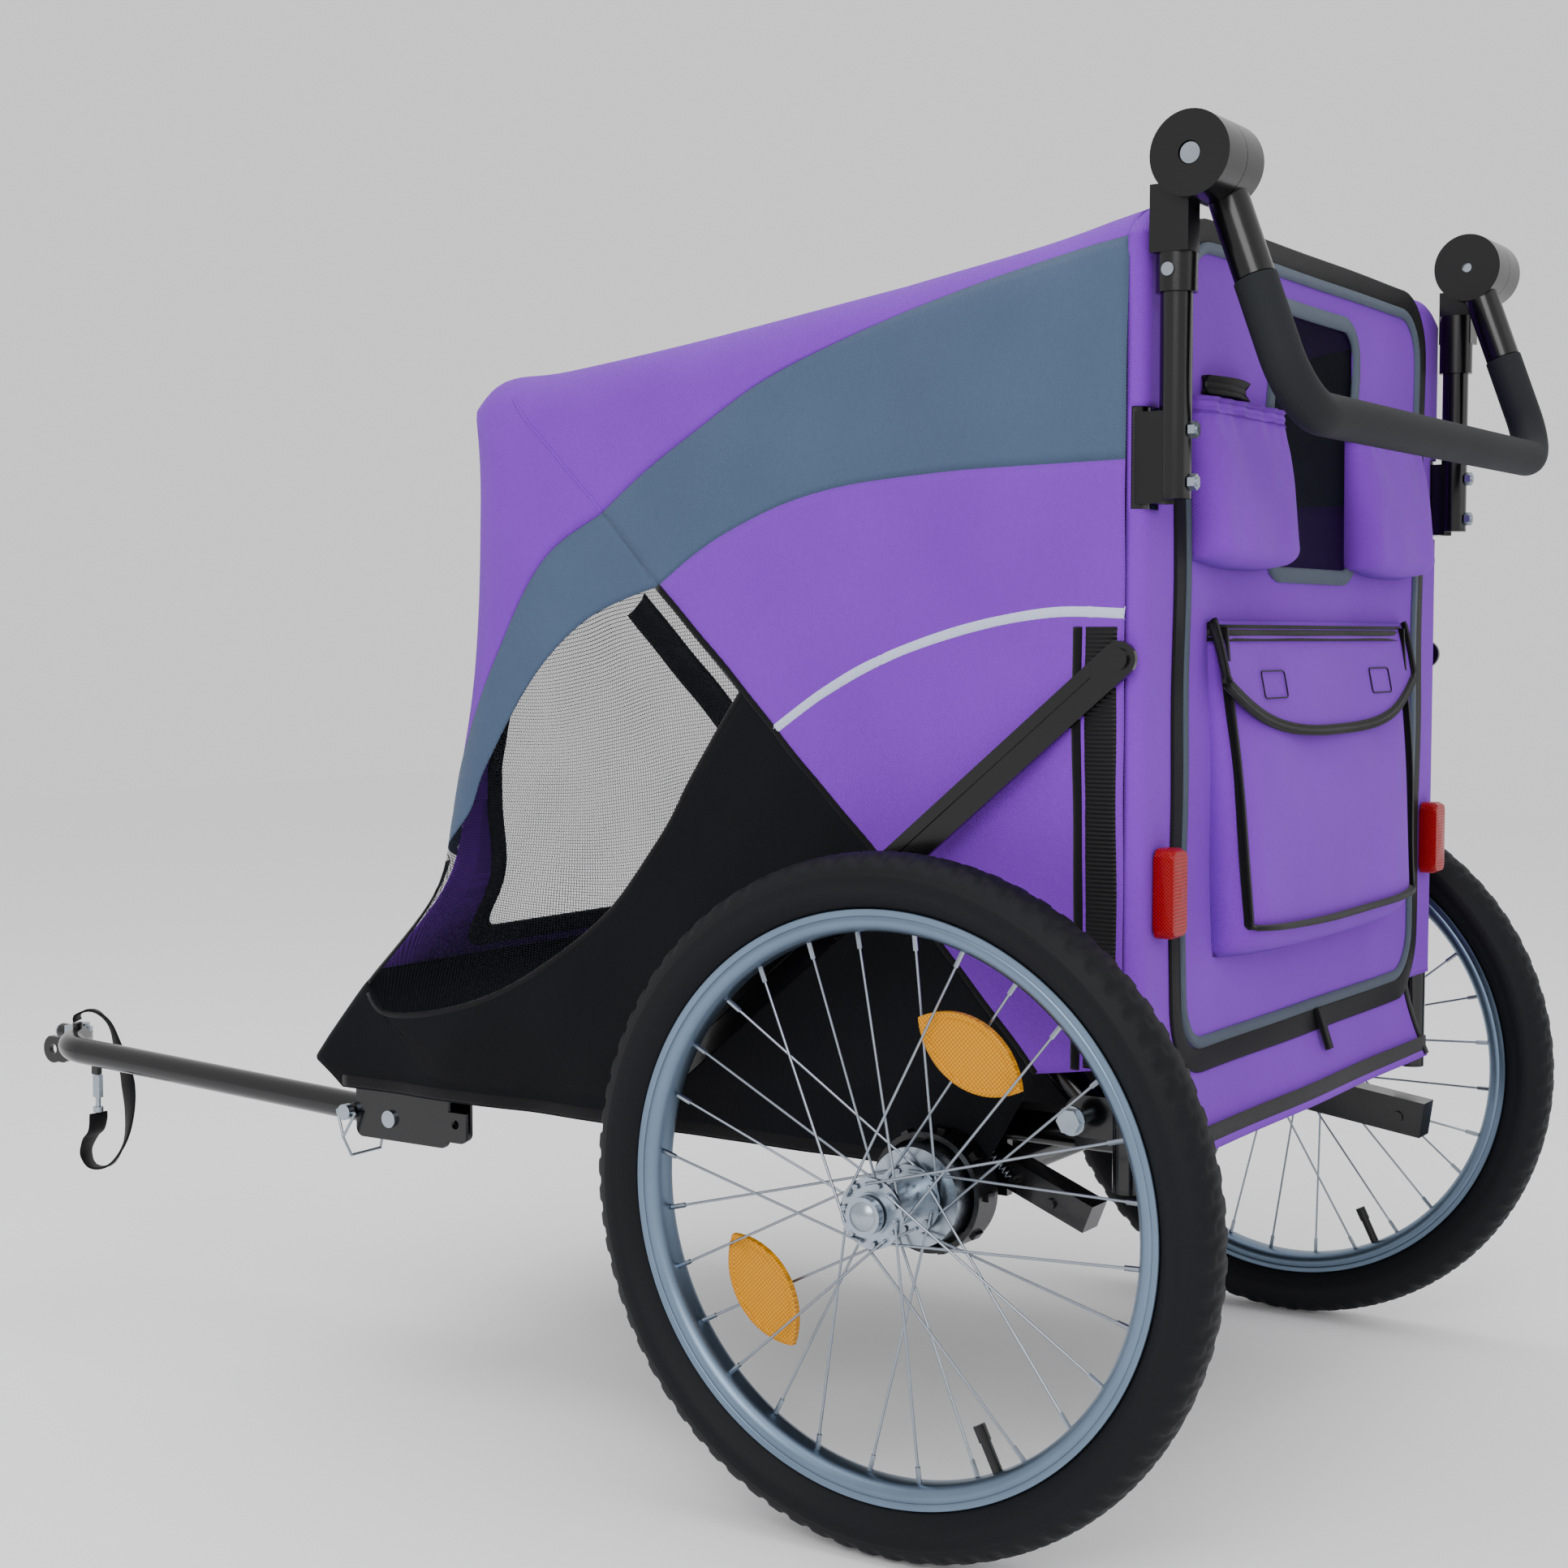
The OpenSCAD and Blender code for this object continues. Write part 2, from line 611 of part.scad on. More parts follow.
module brake_housings() {
    color(black_plastic) framed() both_sides() translate([0, axle_tube_end, axle_z]) rotate([-90, 0, 0]) difference() {
        union() {
            cylinder(r = 44, h = 28);
            for (a = [20:40:340]) rotate(a) translate([44, 0, 14]) cube([5, 6, 10], center = true);
        }
        translate([0, 0, 4]) cylinder(r = 40, h = 30);
        translate([0, 0, -1]) cylinder(d = axle_pin_d + 2 * snug_gap, h = 10);
    }
}

// Pins that the wheels turn on, each with a collar that holds the release button
axle_collar_y = wheel_y + flange_gap / 2 + 6;
module wheel_axles() {
    color(bright_steel) framed() both_sides() translate([0, axle_tube_end - 38, axle_z]) rotate([-90, 0, 0]) difference() {
        union() {
            cylinder(d = axle_pin_d, h = axle_collar_y - axle_tube_end + 38);
            translate([0, 0, axle_collar_y - axle_tube_end + 38]) cylinder(d = 27, h = 7);
        }
        translate([0, 0, 60]) cylinder(d = 5, h = 100);
        translate([0, 0, axle_collar_y - axle_tube_end + 38 + 1.5]) cylinder(d = 20.4, h = 10);
    }
}
module release_button(s) {
    color(bright_steel) framed() on_side(s) translate([0, axle_collar_y + 5.5, axle_z]) rotate([-90, 0, 0]) {
        translate([0, 0, -26]) cylinder(d = 5 - 2 * running_gap, h = 26.5);
        cylinder(d = 20, h = 1.5);
        translate([0, 0, 1.5]) intersection() {
            translate([0, 0, -12]) sphere(r = 15.6, $fn = 48);
            cylinder(d = 20, h = 6);
        }
    }
}

// Brake pedal: a box-section lever that pivots under the right rail
pedal_y = -rail_y;
pedal_half = 12.5;
pedal_pivot_x = -66;
pedal_pivot_z = 246;
pedal_len = 112;
module brake_pedal() {
    color(black_steel) framed() difference() {
        union() {
            translate([pedal_pivot_x, pedal_y, pedal_pivot_z]) rotate([0, -8, 0])
                translate([-pedal_len, -pedal_half, -20]) cube([pedal_len, 2 * pedal_half, 31]);
            pin_y(pedal_pivot_x, pedal_pivot_z, pedal_y - pedal_half, pedal_y + pedal_half, 22);
            translate([pedal_pivot_x, 0, pedal_pivot_z]) rotate([0, -8, 0])
                pin_y(-pedal_len + 22, -6, pedal_y + pedal_half - 1, pedal_y + pedal_half + 2, 10);
        }
        pin_y(pedal_pivot_x, pedal_pivot_z, pedal_y - 20, pedal_y + 20, 8 + 2 * running_gap);
    }
}

// Latch lever: holds the rear hoop upright, and its spring pulls it shut
latch_x = -12;
latch_z = 276;
latch_half = 12;
latch_y = rail_y + rail_d / 2 + latch_half + 2;
latch_tilt = 22;
spring_top = [-14, 294];
spring_peg = [-42, -3];
module latch_lever() {
    color(black_steel) framed() difference() {
        union() {
            translate([latch_x, 0, latch_z]) rotate([0, -latch_tilt, 0]) {
                slab_y(latch_y - latch_half, latch_y + latch_half) translate([-104, -12]) square([116, 21]);
                // Peg that the spring pulls on, and a rivet near the lever's foot
                pin_y(spring_peg[0], spring_peg[1], latch_y + latch_half - 1, latch_y + latch_half + 6, 6);
                pin_y(-74, -5, latch_y + latch_half - 1, latch_y + latch_half + 3, 8);
            }
        }
        pin_y(latch_x, latch_z, latch_y - 20, latch_y + 20, 8 + 2 * running_gap);
    }
}
module latch_spring() {
    peg_x = latch_x + spring_peg[0] * cos(latch_tilt) - spring_peg[1] * sin(latch_tilt);
    peg_z = latch_z + spring_peg[0] * sin(latch_tilt) + spring_peg[1] * cos(latch_tilt);
    a = [spring_top[0], latch_y + latch_half + 3, spring_top[1]];
    b = [peg_x, latch_y + latch_half + 3, peg_z];
    way = (b - a) / norm(b - a);
    color(bright_steel) framed() rod(a + 3.5 * way, b - 3.5 * way, 5);
}

// Rear hoop ---------------------------------------------------------------------------------

foot_low_z = 266;
module rear_hoop() {
    color(black_steel) framed() difference() {
        union() {
            translate([post_x, 0, foot_low_z])
                u_tube(hoop_d, tube_wall, rear_post_y, rear_hoop_top - foot_low_z, hoop_bend);
            both_sides() slab_y(foot_y, foot_y + plate_t) {
                translate([post_x, pivot_z - 15]) square([rear_post_back, 30]);
                translate([pivot_x, pivot_z]) circle(r = 15);
            }
        }
        both_sides() {
            pin_y(pivot_x, pivot_z, foot_y - 5, foot_y + 20, pivot_bolt_d + 2 * running_gap);
            pin_y(post_x, brace_top_z, rear_post_y, rear_post_y + 20, 8);
            // The plate stops at the post's wall
            translate([post_x, rear_post_y, foot_low_z - 1])
                cylinder(d = hoop_d - 2 * tube_wall, h = rear_hoop_top - foot_low_z - hoop_bend);
        }
    }
}

module post_caps() {
    color(black_plastic) framed() both_sides() {
        translate([post_x, rear_post_y, foot_low_z - 3]) cylinder(d = hoop_d, h = 3);
        translate([post_x, rear_post_y, foot_low_z]) cylinder(d = hoop_d - 2 * (tube_wall + snug_gap), h = 12);
        translate([handle_post_x, rear_post_y, handle_post_bottom - 3]) cylinder(d = hoop_d, h = 3);
        translate([handle_post_x, rear_post_y, handle_post_bottom]) cylinder(d = hoop_d - 2 * (tube_wall + snug_gap), h = 5);
    }
}

saddle_bolt_z = [752, 787];
module handle_posts() {
    color(black_steel) framed() both_sides() difference() {
        translate([handle_post_x, rear_post_y, handle_post_bottom])
            tube(hoop_d, tube_wall, handle_post_top - handle_post_bottom);
        for (z = saddle_bolt_z) translate([handle_post_x - 20, rear_post_y, z]) rotate([0, 90, 0]) cylinder(d = 6 + 2 * snug_gap, h = 40);
    }
}

// Blocks between the posts, hollowed to both tubes
module post_saddles() {
    color(black_plastic) framed() both_sides() difference() {
        translate([handle_post_x, rear_post_y - 10, 738]) cube([handle_post_back, 20, 62]);
        translate([handle_post_x, rear_post_y, 700]) cylinder(d = hoop_d + 2 * snug_gap, h = 120);
        translate([post_x, rear_post_y, 700]) cylinder(d = hoop_d + 2 * snug_gap, h = 120);
        for (z = saddle_bolt_z) translate([handle_post_x, rear_post_y, z]) rotate([0, 90, 0]) cylinder(d = 6 + 2 * snug_gap, h = 40);
    }
}
module saddle_bolts() {
    color(bright_steel) framed() both_sides() for (z = saddle_bolt_z) {
        translate([handle_post_x - hoop_d / 2 - 6, rear_post_y, z]) rotate([0, 90, 0])
            cylinder(d = 6, h = handle_post_back + 6 - 2 * snug_gap);
        translate([handle_post_x - hoop_d / 2 - 5, rear_post_y, z]) rotate([0, 90, 0])
            cylinder(d = 10 / cos(30), h = 5, $fn = 6);
    }
}

// The fixed half of each tilt joint: a sleeve over the handle post and the outer disc
disc_split_y = rear_post_y - 5;
fork_sleeve_d = 28;
module joint_forks() {
    color(black_plastic) framed() both_sides() difference() {
        union() {
            translate([handle_post_x, rear_post_y, 879]) cylinder(d = fork_sleeve_d, h = handle_post_top - 879 + 4);
            translate([handle_post_x - 14, disc_split_y + side_gap / 2, 905]) cube([28, 19, 45]);
            pin_y(tilt_x, tilt_z, disc_split_y + side_gap / 2, disc_split_y + 30, tilt_disc_d);
        }
        translate([handle_post_x, rear_post_y, 870]) cylinder(d = hoop_d + 2 * snug_gap, h = handle_post_top - 870 + snug_gap);
        pin_y(tilt_x, tilt_z, disc_split_y - 5, disc_split_y + 40, 8 + 2 * snug_gap);
        pin_y(tilt_x, tilt_z, disc_split_y + 27, disc_split_y + 40, 16);
        // Room for the moving disc beside the sleeve
        pin_y(tilt_x, tilt_z, disc_split_y - 30, disc_split_y + side_gap / 2, tilt_disc_d + 2);
    }
}
module joint_bolts() {
    color(bright_steel) framed() both_sides() {
        pin_y(tilt_x, tilt_z, disc_split_y - 27, disc_split_y + 27, 8);
        pin_y(tilt_x, tilt_z, disc_split_y + 27, disc_split_y + 29, 14);
        // Rivets through the sleeves
        pin_y(handle_post_x, 893, rear_post_y + fork_sleeve_d / 2, rear_post_y + fork_sleeve_d / 2 + 2, 9);
    }
}

// Push handle -------------------------------------------------------------------------------

handle_arm_y = disc_split_y - 15;
// Places the handle's own frame: Z runs down an arm from the tilt axis
module handle_frame() { translate([tilt_x, 0, tilt_z]) rotate([0, arm_lean, 0]) mirror([0, 0, 1]) children(); }
module handle_bar() {
    color(black_steel) framed() handle_frame() translate([0, 0, 30])
        u_tube(hoop_d, tube_wall, handle_arm_y, arm_len - 30, handle_bend);
}
module foam_grip() {
    grip_start = 84;
    color("#26272B") framed() handle_frame() translate([0, 0, grip_start])
        u_tube(foam_d, (foam_d - hoop_d) / 2 - snug_gap, handle_arm_y, arm_len - grip_start, handle_bend);
}
module joint_arms() {
    color(black_plastic) framed() both_sides() difference() {
        union() {
            pin_y(tilt_x, tilt_z, disc_split_y - 29, disc_split_y - side_gap / 2, tilt_disc_d);
            handle_frame() translate([0, handle_arm_y, 0]) cylinder(d = 28, h = 83);
        }
        handle_frame() translate([0, handle_arm_y, 30 - snug_gap]) cylinder(d = hoop_d + 2 * snug_gap, h = 90);
        pin_y(tilt_x, tilt_z, disc_split_y - 40, disc_split_y + 1, 8 + 2 * running_gap);
    }
}

// Front hoop --------------------------------------------------------------------------------

module front_hoop() {
    color(black_steel) framed() difference() {
        translate([pivot_x, 0, pivot_z]) rotate([0, 90 - front_hoop_angle, 0]) union() {
            u_tube(hoop_d, tube_wall, front_post_y, front_hoop_len, hoop_bend);
            // Solid ends round the pivot bolts
            both_sides() translate([0, front_post_y, -12]) cylinder(d = hoop_d, h = 34);
        }
        both_sides() pin_y(pivot_x, pivot_z, 250, 290, pivot_bolt_d + 2 * running_gap);
    }
}

// Braces ------------------------------------------------------------------------------------

brace_top = [post_x, brace_top_z];
brace_low = [brace_low_x, brace_low_z];
brace_len = norm(brace_low - brace_top);
brace_mid = brace_top + (brace_low - brace_top) * upper_link_len / brace_len;

// A flat link with round ends between two points, in X and Z, with a pressed groove in its outer face
module link(a, b, y0, hole_a, hole_b) {
    v = b - a;
    run = norm(v);
    translate([a[0], 0, a[1]]) rotate([0, -atan2(v[1], v[0]), 0]) difference() {
        slab_y(y0, y0 + link_t) {
            translate([0, -link_w / 2]) square([run, link_w]);
            circle(d = link_w);
            translate([run, 0]) circle(d = link_w);
        }
        slab_y(y0 + link_t - 1.2, y0 + link_t + 1) translate([24, -4]) square([run - 48, 8]);
        if (hole_a > 0) pin_y(0, 0, y0 - 1, y0 + link_t + 1, hole_a);
        if (hole_b > 0) pin_y(run, 0, y0 - 1, y0 + link_t + 1, hole_b);
    }
}
// The upper link carries its own bolt into the post, and the heads of its two lower bolts
module upper_brace(s) {
    way = (brace_mid - brace_top) / upper_link_len;
    near_mid = brace_mid - 22 * way;
    color(black_steel) framed() on_side(s) {
        link(brace_top, brace_mid, upper_link_y, 0, 0);
        pin_y(post_x, brace_top_z, rear_post_y + 4, upper_link_y + 1, 8 - 2 * running_gap);
        pin_y(post_x, brace_top_z, rear_post_y + hoop_d / 2 + side_gap, upper_link_y + 1, 12);
        pin_y(post_x, brace_top_z, upper_link_y + link_t - 1, upper_link_y + link_t + 3, 15);
        for (p = [brace_mid, near_mid])
            pin_y(p[0], p[1], upper_link_y + link_t - 1.4, upper_link_y + link_t + 3, 14);
    }
}
module lower_brace(s) {
    color(black_steel) framed() on_side(s)
        link(brace_low, brace_mid, link_inner_y, 8 + 2 * running_gap, 8);
}

// Tow arm -----------------------------------------------------------------------------------

// Places the tow arm's own frame: X runs along the arm from its pivot bolt
module arm_frame() { translate([arm_pivot_x, arm_y, arm_pivot_z]) rotate([0, -arm_rise, 0]) children(); }
// Places the arm's bent end: X runs out of the tube's mouth
module arm_end_frame() {
    translate([arm_straight + arm_bend_r * sin(arm_bend), -arm_bend_r * (1 - cos(arm_bend)), 0])
        rotate([0, 0, -arm_bend]) children();
}
module tow_arm() {
    color(black_steel) framed() difference() {
        arm_frame() {
            translate([-14, 0, 0]) rotate([0, 90, 0]) tube(arm_d, tube_wall, arm_straight + 14);
            translate([arm_straight, -arm_bend_r, 0]) rotate([0, 0, 90 - arm_bend])
                elbow(arm_d, tube_wall, arm_bend_r, arm_bend);
            // Sleeves inside the tube at the two ends of the bend
            translate([arm_straight - 4, 0, 0]) rotate([0, 90, 0]) cylinder(d = arm_d - tube_wall, h = 6);
            arm_end_frame() translate([-2, 0, 0]) rotate([0, 90, 0]) cylinder(d = arm_d - tube_wall, h = 6);
            arm_end_frame() {
                rotate([0, 90, 0]) tube(arm_d, tube_wall, arm_tail);
                // Plug and flat tongue for the coupler's swivel bolt
                translate([arm_tail - 8, 0, 0]) rotate([0, 90, 0]) cylinder(d = arm_d - tube_wall, h = 8);
                translate([arm_tail - 4, -9, -tongue_t / 2]) cube([20, 18, tongue_t]);
                translate([arm_tail + 16, 0, -tongue_t / 2]) cylinder(d = 18, h = tongue_t);
                // Stud on top for the safety strap
                translate([arm_tail - 8, 0, 0]) cylinder(d = 10, h = strap_stud_top);
            }
            // Crush sleeves for the pivot bolt and the hitch pin
            pin_y(0, 0, -arm_d / 2 + 1, arm_d / 2 - 1, 14);
            pin_y(pin_ahead, 0, -arm_d / 2 + 1, arm_d / 2 - 1, 14);
            // Tab under the arm that the strap's hook clips to
            translate([hook_ahead - 4, -10, -22]) cube([8, 6, 14]);
        }
        arm_frame() {
            pin_y(0, 0, -30, 30, 8 + 2 * running_gap);
            pin_y(pin_ahead, 0, -30, 30, pin_d + 2 * running_gap);
            arm_end_frame() translate([arm_tail + 16, 0, -20]) cylinder(d = 8 + 2 * running_gap, h = 40);
        }
    }
}
strap_stud_top = 17;
hook_ahead = 402;

module hitch_pin() {
    color(bright_steel) framed() arm_frame() difference() {
        union() {
            pin_y(pin_ahead, 0, -28, bracket_inner + 6, pin_d);
            pin_y(pin_ahead, 0, bracket_inner + 5, bracket_inner + 12, 14);
        }
        // Cross hole for the bail in the head
        translate([pin_ahead - 10, bracket_inner + 8.5, 0]) rotate([0, 90, 0])
            cylinder(d = bail_wire + 2 * running_gap, h = 20);
    }
}
// A wire loop hinged in the pin's head that hangs under the arm and comes up beside the pin's tip
bail_wire = 2.5;
bail_drop = 40;
module pin_bail() {
    head_y = bracket_inner + 8.5;
    far_y = -head_y - 7;
    knots = [[10.5, head_y, 0], [-10.5, head_y, 0], [0, head_y + 3, -bail_drop * 0.55], [0, head_y - 8, -bail_drop],
             [0, far_y + 5, -bail_drop], [0, far_y, -16]];
    color(bright_steel) framed() arm_frame() translate([pin_ahead, 0, 0]) {
        for (k = [0:len(knots) - 2]) rod(knots[k], knots[k + 1], bail_wire);
        rod(knots[0], knots[2], bail_wire);
        for (p = knots) translate(p) sphere(d = bail_wire + 0.2, $fn = 24);
    }
}

// Coupler: a clevis that yaws on the arm's tongue, with a stud that the hitch plate rolls on
module coupler_yoke() {
    jaw = tongue_t / 2 + side_gap / 2;
    color(bright_steel) framed() arm_frame() translate(swivel) {
        for (z = [-jaw - 4, jaw]) translate([0, 0, z]) {
            cylinder(d = 18, h = 4);
            translate([0, -9, 0]) cube([stud_start, 18, 4]);
        }
        translate([12, -9, -jaw - 4]) cube([stud_start - 12, 18, 2 * jaw + 8]);
        translate([0, 0, -jaw - 4]) cylinder(d = 8, h = 2 * jaw + 8);
        translate([0, 0, jaw + 4]) cylinder(d = 12, h = 4);
        translate([0, 0, -jaw - 8]) cylinder(d = 12, h = 4);
        translate([stud_start - 1, 0, 0]) rotate([0, 90, 0]) cylinder(d = 8, h = boss_len + 2 * side_gap + 2);
        translate([stud_start + boss_len + 2 * side_gap, 0, 0]) rotate([0, 90, 0]) cylinder(d = 13, h = 3);
    }
}
module hitch_plate() {
    color(black_steel) framed() arm_frame() translate(swivel + [stud_start + side_gap, 0, 0]) difference() {
        union() {
            rotate([0, 90, 0]) cylinder(d = 16, h = boss_len);
            slab_y(-hitch_t / 2, hitch_t / 2) {
                translate([0, -plate_drop]) square([boss_len, plate_drop]);
                translate([10, -plate_drop - 12]) square([plate_ahead - 10, 22]);
                translate([plate_ahead, -plate_drop]) circle(r = 14);
                translate([10, -plate_drop - 2]) circle(r = 10);
            }
        }
        translate([-1, 0, 0]) rotate([0, 90, 0]) cylinder(d = 8 + 2 * running_gap, h = boss_len + 2);
        translate([boss_len, 0, 0]) rotate([0, 90, 0]) cylinder(d = 15, h = 30);
        pin_y(plate_ahead, -plate_drop, -20, 20, hitch_hole_d);
    }
}

// Safety strap: webbing from the arm's end, over and behind the arm, and round to a hook under it
strap_d = 8;
strap_route = [[1032, 215.5, 268.7], [1032, 215.5, 275], [1019, 208, 279], [995, 209, 269], [975, 217, 248],
               [962, 220, 222], [956, 220, 190], [960, 221, 158], [976, 225, 134], [994, 231, 130],
               [998, 236, 144], [988, 240, 160], [976, 242.6, 170], [972.3, 243, 180], [972, 243, 188]];
module safety_strap() { color(black_plastic) framed() sweep(smooth(strap_route, 4), strap_d, 8); }
// A closed tube swept along a path
function unit(v) = v / norm(v);
function path_way(p, i) = unit(p[min(i + 1, len(p) - 1)] - p[max(i - 1, 0)]);
module sweep(path, d, sides) {
    n = len(path);
    rings = [for (i = [0:n - 1])
        let (w = path_way(path, i), s = unit(cross(w, [0.3, 1, 0.2])), u = cross(s, w))
        [for (k = [0:sides - 1]) path[i] + d / 2 * (cos(k * 360 / sides) * s + sin(k * 360 / sides) * u)]];
    points = [for (r = rings, q = r) q];
    walls = [for (i = [0:n - 2], k = [0:sides - 1])
        let (a = i * sides + k, b = i * sides + (k + 1) % sides)
        each [[a, b, b + sides], [a, b + sides, a + sides]]];
    caps = [[for (k = [sides - 1:-1:0]) k], [for (k = [0:sides - 1]) (n - 1) * sides + k]];
    polyhedron(points = points, faces = concat(walls, caps), convexity = 6);
}
// Swivel snap hook between the strap's end and the tab
module snap_hook() {
    x = strap_route[len(strap_route) - 1][0];
    y = strap_route[len(strap_route) - 1][1];
    z = strap_route[len(strap_route) - 1][2] + 0.9;
    top_z = arm_pivot_z + hook_ahead * sin(arm_rise) - 22 - 0.4;
    color(bright_steel) framed() {
        translate([x, y, z]) cylinder(d = 10, h = 5);
        translate([x, y, z + 4]) cylinder(d = 5, h = top_z - z - 4);
        translate([x - 4.5, y - 2.5, top_z - 22]) cube([9, 5, 22]);
    }
}

// Wheels ------------------------------------------------------------------------------------

module at_wheel(s) { on_side(s) translate([0, wheel_y, axle_z]) rotate([-90, 0, 0]) children(); }
tyre_seat = rim_d / 2 - 5;
tyre_centre = (tyre_d - tyre_w) / 2;
module tyre(s) {
    bead = rim_w / 2 - 2.6;
    color("#101216") framed() at_wheel(s) rotate_extrude($fn = 96) difference() {
        union() {
            difference() {
                translate([tyre_centre, 0]) circle(d = tyre_w);
                translate([tyre_centre, 0]) circle(d = tyre_w - 8);
            }
            for (y = [-bead, bead - 7]) translate([tyre_seat, y]) square([9, 7]);
            for (y = [-bead - 5, bead - 7]) translate([rim_d / 2 + 0.2, y]) square([5, 12]);
        }
        translate([tyre_seat - 60, -40]) square([60, 80]);
        translate([tyre_seat - 60, -bead + 7]) square([62, 2 * bead - 14]);
        for (y = [bead, -bead - 30]) translate([tyre_seat - 20, y]) square([rim_d / 2 + 20.2 - tyre_seat, 30]);
        // Tread grooves
        for (y = [-7, 7]) translate([tyre_d / 2 - 2, y - 1]) square([4, 2]);
    }
}
module rim(s) {
    r0 = rim_d / 2 - rim_depth;
    color(bright_steel) framed() at_wheel(s) rotate_extrude($fn = 96)
        polygon([[r0, -rim_w / 2 + 6], [r0, rim_w / 2 - 6], [r0 + 5, rim_w / 2], [rim_d / 2, rim_w / 2],
                 [rim_d / 2, rim_w / 2 - 2.4], [tyre_seat - 0.1, rim_w / 2 - 2.4], [tyre_seat - 0.1, -rim_w / 2 + 2.4],
                 [rim_d / 2, -rim_w / 2 + 2.4], [rim_d / 2, -rim_w / 2], [r0 + 5, -rim_w / 2]]);
}
spoke_phase = 5;
spoke_ring_d = flange_d - 8;
lace_angle = 3 * 720 / spoke_count;
module spokes(s) {
    rim_r = rim_d / 2 - rim_depth - 0.5;
    color(bright_steel) framed() at_wheel(s) for (k = [0:spoke_count - 1]) {
        flange = k % 2 == 0 ? 1 : -1;
        face = floor(k / 2) % 2 == 0 ? 1 : -1;
        rim_a = -(spoke_phase + k * 360 / spoke_count);
        hub_a = rim_a + face * lace_angle;
        outside = flange * face > 0;
        start = [spoke_ring_d / 2 * cos(hub_a), spoke_ring_d / 2 * sin(hub_a),
                 flange * (flange_gap / 2 + (outside ? 4.3 : -2.5))];
        rod(start, [rim_r * cos(rim_a), rim_r * sin(rim_a), flange * 2.5 + face * 1.3], spoke_d);
        // The bent end passes through the flange
        rod(start + [0, 0, flange * (outside ? 1.2 : -1.2)],
            [start[0], start[1], flange * (flange_gap / 2 + (outside ? -2.6 : 3.4))], spoke_d + 0.3);
    }
}
hub_barrel_d = 30;
module hub(s) {
    half = flange_gap / 2;
    color(bright_steel) framed() at_wheel(s) difference() {
        union() {
            translate([0, 0, -half - 8]) cylinder(d = hub_barrel_d, h = flange_gap + 12);
            for (z = [-half, half]) translate([0, 0, z - 1.3]) cylinder(d = flange_d, h = 2.6);
            // Brake drum inboard of the inner flange
            translate([0, 0, -wheel_y + axle_tube_end + 8]) cylinder(r = 36, h = wheel_y - axle_tube_end - 8 - half - 7);
            translate([0, 0, -wheel_y + axle_tube_end + 6]) cylinder(r = 12, h = 30);
        }
        translate([0, 0, -100]) cylinder(d = axle_pin_d + 2 * running_gap, h = 200);
        for (f = [0, 1], k = [0:spoke_count / 2 - 1])
            rotate(-spoke_phase - (2 * k + f) * 360 / spoke_count)
                translate([spoke_ring_d / 2, 0, (f == 0 ? half : -half) - 1.5])
                    cylinder(d = spoke_d + 0.6, h = 3, $fn = 16);
    }
}
module spoke_reflectors(s) {
    color("#E89A12") framed() at_wheel(s) for (a = [-119, 35]) rotate(a) translate([130, 0, -4])
        linear_extrude(8) intersection() {
            translate([-31, 0]) circle(r = 55, $fn = 64);
            translate([31, 0]) circle(r = 55, $fn = 64);
        }
}
module valve(s) {
    color(black_plastic) framed() at_wheel(s) rotate(116.5) {
        rod([rim_d / 2 - rim_depth - 0.2, 0, 0], [rim_d / 2 - rim_depth - 28, 0, 0], 7.5);
        rod([rim_d / 2 - rim_depth - 22, 0, 0], [rim_d / 2 - rim_depth - 34, 0, 0], 9);
    }
}

base_frame();
floor_panel();
tow_bracket();
frame_bolts();
brake_housings();
wheel_axles();
side_panels();
side_bands();
corner_panels();
side_skirts();
mesh_windows();
roof_cover();
front_cover();
rear_hoop();
handle_posts();
post_saddles();
saddle_bolts();
joint_forks();
post_caps();
rear_cover();
rear_door();
rear_window_mesh();
rear_pocket();
bottle_pouches();
rear_reflectors();
pocket_flap();
handle_bar();
foam_grip();
joint_arms();
joint_bolts();
front_hoop();
upper_brace(1);  // upper_brace_left
upper_brace(-1);  // upper_brace_right
lower_brace(1);  // lower_brace_left
lower_brace(-1);  // lower_brace_right
tow_arm();
hitch_pin();
pin_bail();
coupler_yoke();
hitch_plate();
safety_strap();
snap_hook();
tyre(1);  // tyre_left
rim(1);  // rim_left
spokes(1);  // spokes_left
hub(1);  // hub_left
spoke_reflectors(1);  // spoke_reflectors_left
valve(1);  // valve_left
tyre(-1);  // tyre_right
rim(-1);  // rim_right
spokes(-1);  // spokes_right
hub(-1);  // hub_right
spoke_reflectors(-1);  // spoke_reflectors_right
valve(-1);  // valve_right
release_button(1);  // release_button_left
release_button(-1);  // release_button_right
latch_lever();
latch_spring();
brake_pedal();
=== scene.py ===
# %% [markdown]
# # Child bicycle trailer
# A two-wheeled trailer: a folding steel frame carries a sewn fabric cabin, a push handle and a tow arm.
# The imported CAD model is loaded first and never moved. Metal and plastic parts that already have the
# right shape only get a finish; cloth, webbing, tyres and springs are rebuilt here as surfaces.

import math

